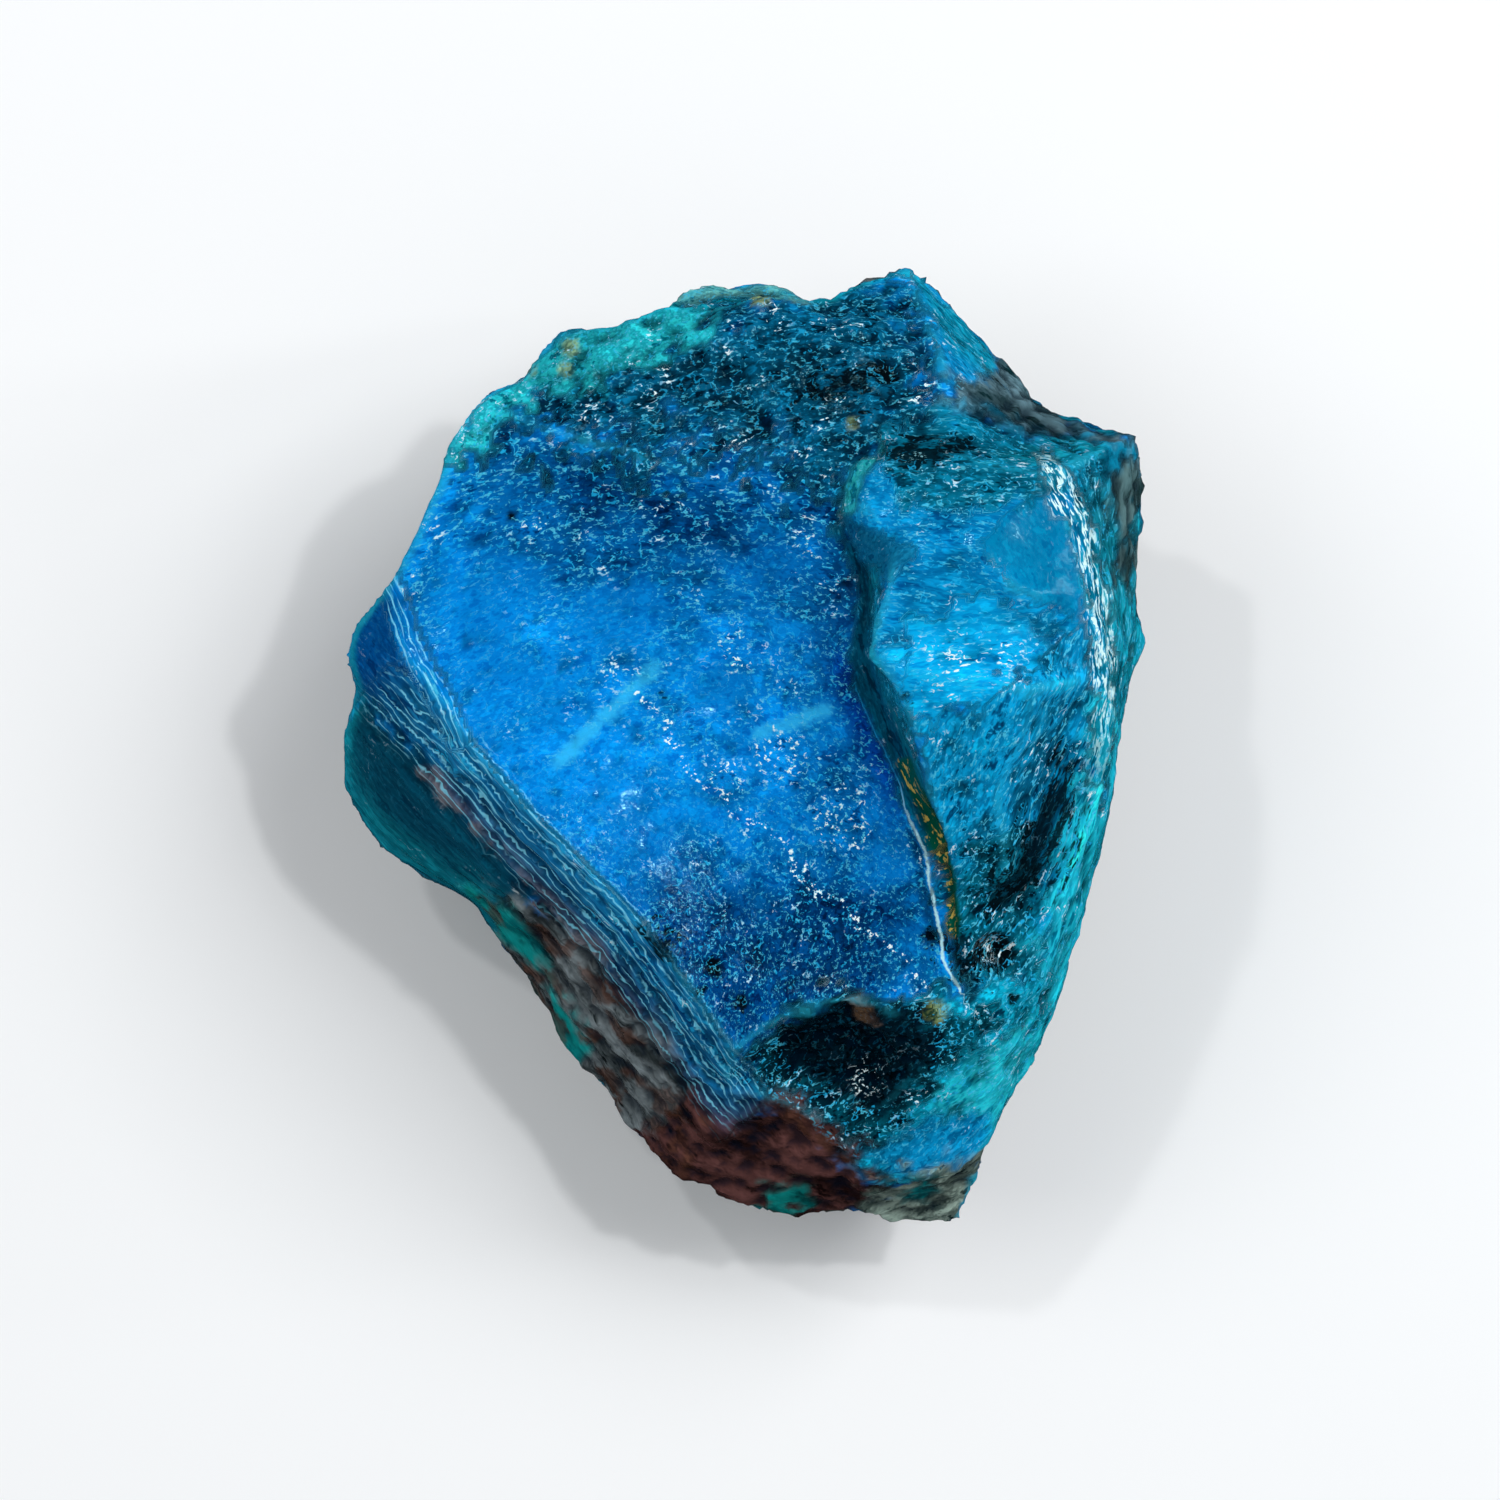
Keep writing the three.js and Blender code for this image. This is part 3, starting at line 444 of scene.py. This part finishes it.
# Where the azure broke smooth, as place and radius.
SMOOTH = [(-9.0, 1.0, 5.0), (-5.0, -3.2, 2.6), (-12.0, 7.0, 3.5), (-5.5, 6.0, 3.0), (-1.2, 3.0, 1.8)]


def round_reach(x, y):
    """Each point's distance from a place on the face, seen from above."""
    return np.hypot(spots[:, 0] - x, spots[:, 1] - y)


def spread(places):
    """For round places, as x, y and radius: 1 at a middle, 0 at the radius and less past it."""
    return np.max([1 - round_reach(x, y) / radius for x, y, radius in places], axis=0)


# Noises and distances that several minerals share.
wobble = lumps(1.6, 11.0)
fine = lumps(0.7, 23.0)
ragged = 0.6 * lumps(1.3, 43.0) + 0.6 * fine
druse = spread(DRUSES)
smooth = spread(SMOOTH)
ochre = spread(FLECKS)
glow = 0.38 + 0.30 * lumps(2.8, 61.0)
for x, y, radius, gain in GLOWS:
    glow += gain * np.exp(-(round_reach(x, y) / radius) ** 2)


def ink(red, green, blue):
    """A colour as a screen shows it, from 0 to 255, in the shader's linear light."""
    screen = (red, green, blue)
    return (*[((c / 255 + 0.055) / 1.055) ** 2.4 if c > 10 else c / 255 / 12.92 for c in screen], 1)


def laid(colours, colour, mask):
    """The points' colours with one laid over them where the mask is 1."""
    return colours + np.clip(mask, 0, 1)[:, None] * (np.array(ink(*colour)) - colours)


# The azure's own two tones, brighter where it glows and deeper where it doesn't.
AZURE = (0, 62, 128), (4, 124, 202)
BRIGHT_AZURE = (0, 106, 196), (6, 154, 240)
DEEP_AZURE = (0, 30, 76), (0, 74, 138)
SMOOTH_AZURE = (0, 118, 208)  # in place of the darker tone where few grains show
dark = np.tile(ink(*AZURE[0]), (count, 1))
light = np.tile(ink(*AZURE[1]), (count, 1))


def lay(mask, darkest, lightest):
    """Lays a mineral's two tones over the stone's own where the mask is 1."""
    dark[:] = laid(dark, darkest, mask)
    light[:] = laid(light, lightest, mask)


# Height is how far a point's lumps stand out, and grain how grainy it is. The azure grows
# grainier towards the dark granular part above it.
AZURE_LUMP = 0.05
lay(glow, *BRIGHT_AZURE)
lay(-1.3 * glow, *DEEP_AZURE)
height = np.full(count, AZURE_LUMP)
grain = 0.50 + 0.35 * lumps(2.6, 55.0) - 0.45 * ramp(smooth, 0.0, 0.5) + 0.30 * ramp(spots[:, 1], 7.0, 12.0)
grain = np.clip(grain, 0, 1)
dark = laid(dark, SMOOTH_AZURE, 0.45 * (1 - grain) * np.clip(1 + 1.5 * glow, 0, 1))

# A painted shadow makes the azure deepest in a strip along the foot of the ledge.
past_lip, lip_along = reach["lip"]
ledge_shadow = ramp(past_lip + 1.7, 0.0, 1.4) * (1 - ramp(lip_along, 5.0, 9.0)) * (past_lip < 0.2)
lay(ledge_shadow, (0, 34, 104), (0, 74, 170))

# Coordinates that run with the streaks. The azure's faint wisps are arcs about a point below
# the stone's foot, as wide as they are long at the radius ARC_TIGHT.
ARC_CENTRE = (-1.0, -22.0)
ARC_TIGHT = 17.0
from_x, from_y = spots[:, 0] - ARC_CENTRE[0], spots[:, 1] - ARC_CENTRE[1]
flow = np.stack([np.arctan2(from_x, from_y) * ARC_TIGHT, np.hypot(from_x, from_y), spots[:, 2]], axis=1)


def streak(where, along, across, depth):
    """Turns the streaks at some points. A coordinate that grows slowly draws them out its way."""
    flow[where] = np.stack([along, across, depth], axis=1)[where]


# Each mineral in turn: the height of its lumps, its graininess, its streaks and its two tones.
for zone, (lump, graininess, degrees, length) in BREAKS.items():
    raggedness, softness, darkest, lightest = TONES[zone]
    inside = ramp(field[zone] + raggedness * ragged, -softness, softness) * top
    lay(inside, darkest, lightest)
    height += inside * (lump - height)
    grain += inside * (graininess - grain)
    way = math.radians(degrees)
    along = spots[:, 0] * math.cos(way) + spots[:, 1] * math.sin(way)
    across = spots[:, 1] * math.cos(way) - spots[:, 0] * math.sin(way)
    streak(inside > 0.5, along / length, across, spots[:, 2])
grain = np.maximum(grain, 1.2 * ramp(druse + 0.3 * fine, 0.0, 0.6))


def covered(zones, full=0.3):
    """1 inside any of the zones named, and 0 outside them all."""
    return np.max([ramp(field[zone], -0.2, full) for zone in zones], axis=0)


# Pale threads run over the blue and green, less over what is plain, sooty or granular, and not
# over the stony parts.
stony = covered(("matrix", "seam", "brown", "shoulder", "dusk", "foot"))
sooty = covered(("hollow", "soot"), 0.4)
plain = covered(("lobe", "corner", "wedge", "shaded_riser", "facet"))
druse_grain = ramp(druse + 0.2 * fine, 0.05, 0.5)
threaded = (0.2 + 0.8 * np.clip(grain, 0, 1)) * (1 - stony) * (1 - sooty * 0.92) * (1 - plain * 0.8)
threaded *= 1 - 0.45 * ramp(field["granular"] + ragged, -0.5, 1.5)

# The matrix and the brown are smeared with wide streaks of their own two tones.
smear = lumps(1.1, 71.0, 5, flow) + 0.3 * lumps(3.0, 73.0, 2)
paler = (0.60 * stony * ramp(smear, 0.05, 0.45))[:, None] * (light - dark)
deeper = (0.65 * stony * ramp(-smear, 0.05, 0.45))[:, None] * (dark - light)
dark += paler
light += deeper

# Rusty patches in the grey matrix, and a rusty line where the brown meets the blue.
greyish = np.maximum(field["matrix"], field["seam"])
rusty = ramp(greyish, -0.1, 0.3) * ramp(lumps(1.7, 67.0), 0.15, 0.4) * top
rusty = np.maximum(rusty, ramp(0.35 - np.abs(reach["rust"][0] + 0.3 * fine), 0.0, 0.25))
lay(0.7 * rusty, (28, 15, 11), (88, 56, 42))

# A few yellow-green flecks.
lay(0.6 * ramp(ochre + 0.3 * ragged, 0.0, 0.5), (50, 84, 50), (168, 176, 92))

# A painted glow, standing for light that comes through the thin rim of the blue, gives it a turquoise edge.
painted_rim_glow = stretch(facing, 0.0, 0.2, 0.35, 0.6) * (1 - stony) * (1 - sooty)
lay(painted_rim_glow * 0.6, (0, 92, 112), (20, 168, 186))

# The back, which the picture doesn't show, is the vein's wall: brown and grey matrix with
# turquoise and dark blue patches.
WALL_LUMP = 0.22
WALL_GRAIN = 0.7
walled = ramp(-facing + 0.08 * ragged, 0.06, 0.26)
wall_dark = np.tile(ink(26, 18, 18), (count, 1))
wall_light = np.tile(ink(84, 70, 66), (count, 1))
wall_light = laid(wall_light, (128, 124, 118), ramp(lumps(2.2, 15.0, 4), 0.0, 0.4))
green_stain = 0.9 * ramp(lumps(6.0, 25.0, 4), 0.05, 0.35)
blue_stain = 0.8 * ramp(lumps(7.5, 35.0, 4), 0.16, 0.40)
for stain, darkest, lightest in ((green_stain, (0, 56, 70), (14, 136, 140)),
                                 (blue_stain, (0, 32, 74), (0, 92, 150))):
    wall_dark = laid(wall_dark, darkest, stain)
    wall_light = laid(wall_light, lightest, stain)
dark += walled[:, None] * (wall_dark - dark)
light += walled[:, None] * (wall_light - light)
height += walled * (WALL_LUMP - height)
grain += walled * (WALL_GRAIN - grain)
threaded *= 1 - walled

# The relief of the broken surface, outwards in millimetres: each mineral's lumps, the round
# grains of the crust, the swells of the granular part and the knobs of the back.
CRUST_GRAIN = 0.34
GRANULAR_SWELL = 0.22
BACK_SWELL = 0.34
BACK_KNOB = 0.20
crags = 0.35 - np.abs(lumps(1.5, 91.0))
streaky = lumps(1.0, 7.0, 2, flow)
relief = height * (0.6 * wobble + 0.8 * crags + 0.3 * fine + 0.7 * streaky)
on_crust = ramp(field["crust"] + 0.35 * wobble, -0.3, 0.5) * top
relief += on_crust * CRUST_GRAIN * (grains(2.0, 9.0) - 0.35)
relief += ramp(field["granular"], -0.2, 1.0) * top * GRANULAR_SWELL * lumps(3.4, 29.0)
relief += (1 - top) * (BACK_SWELL * lumps(3.2, 41.0) + BACK_KNOB * (grains(2.4, 17.0) - 0.4))

# Down the lower left rim the blue broke in fine parallel steps.
STEP = 0.78  # millimetres from one step to the next
STEP_RISE = 0.20
LINE_STRETCH = 8.0  # the length of the fine lines over their width
BAND_FADE = (26.0, 28.5)  # how far along the band it fades out
outside, band_along = -reach["band"][0], reach["band"][1]
on_band = stretch(outside, -0.1, 0.25, 2.6, 4.0) * top * stretch(band_along, 1.0, 4.0, *BAND_FADE)
relief += on_band * STEP_RISE * (0.5 - ((outside + 0.25 * lumps(2.2, 31.0)) / STEP) % 1.0)
streak(on_band > 0.1, band_along / LINE_STRETCH, outside * 0.9, spots[:, 2] * 0.5)
lay(on_band * (1 - ramp(outside + 0.3 * ragged, 1.4, 2.8)), (0, 60, 112), (34, 146, 202))
on_steps = stretch(outside, -0.5, 0.1, 2.2, 3.2) * stretch(band_along, 1.0, 3.0, *BAND_FADE) * top

# The same fine lines come down the inner edge of the corner facet.
inner, inner_along = reach["corner_edge"]
on_inner = ramp(0.75 - np.abs(inner), 0.0, 0.4) * stretch(inner_along, 0.2, 1.0, 8.5, 9.5) * top
by_corner = on_inner > 0.2
streak(by_corner, inner_along / LINE_STRETCH, inner * 0.9, spots[:, 2] * 0.5)

# The right edge is rippled along its length, and a band of painted glints runs along its upper end.
RIPPLE = 0.95  # millimetres from one ripple to the next
RIPPLE_HEIGHT = 0.08
past_crest, crest_along = reach["crest"]
on_crest = stretch(past_crest, -0.4, 0.3, 3.0, 5.0) * top * (1 - ramp(crest_along, 24.0, 30.0))
wave = (past_crest + 0.35 * lumps(2.6, 37.0)) * 2 * math.pi / RIPPLE
relief += on_crest * RIPPLE_HEIGHT * np.sin(wave)
painted_glint_band = 1 - ramp(np.abs(past_crest - 0.2) + 0.4 * ragged, 0.25, 0.75)
painted_glint_band *= (1 - ramp(crest_along, 9.0, 16.0)) * top
streak(painted_glint_band > 0.1, crest_along / 3.5, past_crest * 1.5, spots[:, 2] * 0.5)

# A raised lip runs along the foot of the ledge, with a groove behind it, and there are pits.
LIP_HEIGHT, LIP_WIDTH = 0.22, 0.22
GROOVE_DEPTH, GROOVE_WIDTH, GROOVE_BEHIND = 0.45, 0.34, 0.62
lip_part = stretch(lip_along, 5.5, 8.5, 15.6, 16.4) * top
relief += lip_part * LIP_HEIGHT * np.exp(-(past_lip / LIP_WIDTH) ** 2)
relief -= lip_part * GROOVE_DEPTH * np.exp(-((past_lip - GROOVE_BEHIND) / GROOVE_WIDTH) ** 2)
for x, y, radius, deep in PITS:
    relief -= top * deep * np.clip(1 - (round_reach(x, y) / radius) ** 2, 0, None)

# The face that the stone rests on stays flat, and nothing passes the solid's box.
REST_FADE = 1.2  # the height over which the relief fades in
relief *= ramp(spots[:, 2], 0.0, REST_FADE)
out = outward(spots)
low, high = (np.array(corner) / MM for corner in (cad_low, cad_high))
shaped = np.clip(spots + out * relief[:, None], low, high)
normals = outward(shaped)

# Painted shade darkens the hollows and painted highlight lightens the humps, and the tones drift from place
# to place.
FULL_HUMP = 0.10  # millimetres that a hump stands out where it is lightest
HUMP_PASSES = 20  # the width that a hump is measured against
hump = np.einsum("ij,ij->i", shaped - evened(shaped, HUMP_PASSES), normals)
painted_relief_shade_and_drift = 1 + 0.55 * np.clip(hump / FULL_HUMP, -1, 1) * np.clip(grain + 0.2, 0, 1)
wisps = np.clip(0.7 * lumps(1.5, 83.0, 3, flow) + 0.5 * lumps(2.6, 87.0, 2, flow), -1, 1)
painted_relief_shade_and_drift *= 1 + (0.10 + 0.34 * np.clip(grain, 0, 1)) * wisps
dark[:, :3] *= painted_relief_shade_and_drift[:, None]
light[:, :3] *= painted_relief_shade_and_drift[:, None]

# What the material reads at each point. Lengths are in millimetres, masks go from 0 to 1.
# The face's own marks are kept off the back.
FAR_OFF = -9.0
CLOUD_WEST, CLOUD_EAST, CHAIN, VEIN = 0.34, 0.36, 0.22, 0.36  # half widths
standing_out = np.einsum("ij,ij->i", spots - evened(spots, 4), out)
sunk = -np.einsum("ij,ij->i", shaped - evened(shaped, 5), normals)
# Where painted white glints go: on grainy ground and in the druses.
painted_glint_amount = np.clip(ramp(lumps(1.1, 19.0) + 0.5 * ramp(druse, 0.0, 0.4), 0.40, 0.80) * grain, 0, 1)
face_marks = {
    "soot": field["soot"],
    "pit": np.max([radius - round_reach(x, y) for x, y, radius, _ in PITS], axis=0),
    "cloud": np.maximum(CLOUD_WEST - np.abs(reach["cloud_west"][0]),
                        CLOUD_EAST - np.abs(reach["cloud_east"][0])),
    "chain": CHAIN - np.abs(reach["chain"][0] + 0.3 * wobble),
    "vein": VEIN - np.abs(reach["vein"][0]),
}
marks = {name: np.where(top > 0.5, values, FAR_OFF) for name, values in face_marks.items()}
marks |= {
    "lip": past_lip,
    "lip_highlight_white": ramp(lip_along, 5.0, 8.0),
    "lip_part": ramp(lip_along, 0.2, 1.5) * top,
    "outside": np.where(by_corner, inner, outside) + 0.12 * wobble,
    "stepped": np.maximum(on_steps, on_inner),
    "painted_glint_band": painted_glint_band,
    "grain": np.clip(grain, 0, 1.2),
    "threaded": threaded,
    "painted_glint_amount": painted_glint_amount * (1 - stony) * (1 - 0.92 * sooty) + 0.7 * druse_grain * top,
    # Painted highlight on edges that stand out, and painted shade in sunken cracks.
    "edge_light": ramp(standing_out, 0.02, 0.06) * (1 - stony) * top,
    "painted_crack_shade": ramp(sunk, 0.01, 0.05),
}
for name, values in marks.items():
    kept = skin.attributes.new(name, "FLOAT", "POINT").data
    kept.foreach_set("value", values.astype(np.float32))
for name, colours in {"dark": dark, "light": light}.items():
    kept = skin.attributes.new(name, "FLOAT_COLOR", "POINT").data
    kept.foreach_set("color", np.clip(colours, 0, 1).astype(np.float32).ravel())
kept = skin.attributes.new("flow", "FLOAT_VECTOR", "POINT").data
kept.foreach_set("vector", flow.astype(np.float32).ravel())
skin.polygons.foreach_set("use_smooth", np.ones(len(skin.polygons), bool))
stone = bpy.data.objects.new("rough_stone", skin)
bpy.context.scene.collection.objects.link(stone)


class Shade:
    """A socket of the stone's material. Sums on it add Math nodes, or Vector Math nodes for a vector."""

    tree = None

    def __init__(self, socket):
        self.socket = socket
        self.wide = socket.type in {"VECTOR", "RGBA"}

    @classmethod
    def add(cls, kind, settings, inputs, output=0):
        """Any node: its settings go in first, and then the values or links of its sockets."""
        node = cls.tree.nodes.new(kind)
        for name, value in settings.items():
            setattr(node, name, value)
        for name, value in inputs.items():
            if isinstance(value, cls):
                cls.tree.links.new(value.socket, node.inputs[name])
            else:
                node.inputs[name].default_value = value
        return cls(node.outputs[output])

    @classmethod
    def sum(cls, operation, a, b):
        """One operation on two values or sockets. A number meets a vector in all three of its parts."""
        if any(isinstance(x, cls) and x.wide for x in (a, b)):
            a, b = ((x, x, x) if isinstance(x, (int, float)) else x for x in (a, b))
            return cls.add("ShaderNodeVectorMath", {"operation": operation}, {0: a, 1: b})
        return cls.add("ShaderNodeMath", {"operation": operation}, {0: a, 1: b})

    def __add__(self, other):
        return Shade.sum("ADD", self, other)

    def __radd__(self, other):
        return Shade.sum("ADD", other, self)

    def __sub__(self, other):
        return Shade.sum("SUBTRACT", self, other)

    def __rsub__(self, other):
        return Shade.sum("SUBTRACT", other, self)

    def __mul__(self, other):
        return Shade.sum("MULTIPLY", self, other)

    def __rmul__(self, other):
        return Shade.sum("MULTIPLY", other, self)

    def __abs__(self):
        return Shade.add("ShaderNodeMath", {"operation": "ABSOLUTE"}, {0: self})

    def folded(self, width):
        """The value as it goes back and forth between 0 and a width."""
        return Shade.sum("PINGPONG", self, width)

    def between(self, low, high):
        """0 below low, 1 above high, and an even S between."""
        return Shade.add("ShaderNodeMapRange", {"interpolation_type": "SMOOTHSTEP"},
                         {"Value": self, "From Min": low, "From Max": high})

    def under(self, colour, mask):
        """This colour with another laid over it where the mask is 1."""
        return Shade.add("ShaderNodeMix", {"data_type": "RGBA"}, {0: mask, 6: self, 7: colour}, 2)


chrysocolla = bpy.data.materials.new("wet_chrysocolla")
chrysocolla.use_nodes = True
Shade.tree = chrysocolla.node_tree


def read(name, output="Fac"):
    """What the mesh holds under a name at each point."""
    return Shade.add("ShaderNodeAttribute", {"attribute_name": name}, {}, output)


def cloudy(apart, detail, where, roughness=0.6):
    """Noise from 0 to 1, its clouds so many millimetres apart."""
    return Shade.add("ShaderNodeTexNoise", {}, {"Vector": where, "Scale": 1.0 / apart, "Detail": detail,
                                                "Roughness": roughness}, "Fac")


def hairline(noise_value, width):
    """1 on the curling lines where a noise crosses its middle, and 0 beside them."""
    return 1 - abs(noise_value - 0.5).between(width * 0.3, width)


# Three noises, two of them drawn out along the streaks, and what is made of them.
place = Shade.add("ShaderNodeTexCoord", {}, {}, "Object") * 1000.0  # millimetres
flow_place = read("flow", "Vector")
grainy = read("grain")
threaded = read("threaded")
stepped = read("stepped")
painted_glint_band = read("painted_glint_band")
mottle = cloudy(0.70, 3.0, flow_place, 0.65)
speckle = cloudy(0.21, 2.0, flow_place)
curls = cloudy(0.62, 1.0, place + mottle * 0.7)
threads = hairline((curls * 4.0).folded(0.5) * 0.5 + 0.5, 0.07) * speckle.between(0.46, 0.54)
strands = hairline(mottle, 0.03)
border = (mottle - 0.5) + (speckle - 0.5) * 0.5
texture = mottle * 0.65 + speckle * 0.35
ripples = (mottle * 5.0 + speckle * 0.6).folded(0.5) * 2.0

# The two tones of the mineral at each point, mottled, with dark specks between the grains, the two pale
# clouds of the azure, painted shade in the cracks and painted highlight on edges that stand out.
tone = texture.between(0.34, 0.66) * 0.6 + ripples.between(0.2, 0.9) * 0.4
colour = read("dark", "Color").under(read("light", "Color"), tone)
specks = (1 - texture.between(0.36, 0.44)) * threaded * grainy.between(0.5, 0.9)
colour = colour.under(ink(0, 14, 34), specks * 0.5)
colour = colour.under(ink(48, 184, 240), (read("cloud") + border * 0.7).between(-0.2, 0.30) * 0.7)
colour = colour.under(ink(0, 24, 44), read("painted_crack_shade") * 0.4)
colour = colour.under(ink(40, 176, 204), read("edge_light") * 0.35)

# The fine lines of the steps, partly painted highlight, the painted highlight strokes along the crest, the
# pits and the soot.
# The pale step lines are partly the band's own lines and partly painted highlight on the step edges, with
# darker blue between them.
steps = (read("outside") * 3.4 + mottle * 1.9).folded(0.5).between(0.34, 0.46)
colour = colour.under(ink(0, 52, 96), stepped * (1 - steps) * 0.35)
colour = colour.under(ink(126, 216, 244), stepped * steps * speckle.between(0.36, 0.52) * 0.85)
# Along the crest, painted white strokes stand for glints, with darker blue between them.
colour = colour.under(ink(0, 84, 116), painted_glint_band * (1 - ripples.between(0.3, 0.5)) * 0.4)
colour = colour.under(ink(214, 250, 252), painted_glint_band * ripples.between(0.50, 0.62) * speckle.between(0.42, 0.50))
colour = colour.under(ink(3, 8, 12), (read("pit") + border * 1.6).between(-0.05, 0.25) * 0.95)
colour = colour.under(ink(2, 8, 14), (read("soot") + border * 5.0).between(-0.3, 0.3) * 0.95)

# Curling pale threads, and painted white glints of crystal grains along some of them, in the druses and along
# the chain line.
colour = colour.under(ink(30, 172, 226), threads * threaded * 0.95)
colour = colour.under(ink(80, 200, 232), strands * threaded * speckle.between(0.48, 0.58) * 0.85)
painted_glints = (threads * speckle.between(0.52, 0.58) + speckle.between(0.66, 0.70)) * read("painted_glint_amount")
painted_glints = painted_glints + (read("chain") + border * 0.6).between(0.0, 0.1) * speckle.between(0.58, 0.62)
colour = colour.under(ink(232, 250, 253), painted_glints)

# The green and golden vein behind the ledge's lip, and a painted highlight along the lip itself: blue, then
# white.
lip = read("lip")
lip_highlight_white = read("lip_highlight_white")
vein_mask = (read("vein") + border * 0.4).between(-0.1, 0.15)
colour = colour.under(ink(0, 74, 56), vein_mask)
gold = vein_mask * (texture * 0.5 + speckle * 0.5).between(0.52, 0.57) * (1 - lip.between(0.5, 0.9))
colour = colour.under(ink(186, 160, 78), gold)
lip_width = speckle * 0.10 * (lip_highlight_white + 0.4)
lip_highlight_mask = (lip_width - abs(lip + border * 0.2)).between(-0.03, 0.05) * read("lip_part")
lip_highlight_tone = Shade.add("ShaderNodeMix", {"data_type": "RGBA"},
                     {0: lip_highlight_white, 6: ink(30, 150, 214), 7: ink(176, 228, 240)}, 2)
colour = colour.under(lip_highlight_tone, lip_highlight_mask)

# The finest relief, and a wet-looking gloss that is a little rougher on the speckles.
BUMP_DEPTH = 1.0 * MM  # what a height of 1 stands for
relief_height = (mottle * 0.075 + speckle * 0.040) * (grainy + 0.12) + threads * threaded * 0.015
relief_height = relief_height + mottle * (stepped + painted_glint_band) * 0.06
normal = Shade.add("ShaderNodeBump", {},
                   {"Strength": 1.0, "Distance": BUMP_DEPTH, "Height": relief_height}, "Normal")
gloss = speckle * 0.10 + 0.07
WET_IOR = 1.5
WET_SHINE = 0.2
WET_TINT = (0.35, 0.86, 1.0, 1)
finish = Shade.tree.nodes["Principled BSDF"]
finish.inputs["IOR"].default_value = WET_IOR
finish.inputs["Specular IOR Level"].default_value = WET_SHINE
finish.inputs["Specular Tint"].default_value = WET_TINT
Shade.tree.links.new(colour.socket, finish.inputs["Base Color"])
Shade.tree.links.new(gloss.socket, finish.inputs["Roughness"])
Shade.tree.links.new(normal.socket, finish.inputs["Normal"])
skin.materials.append(chrysocolla)

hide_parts("stone")
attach(stone, "root")
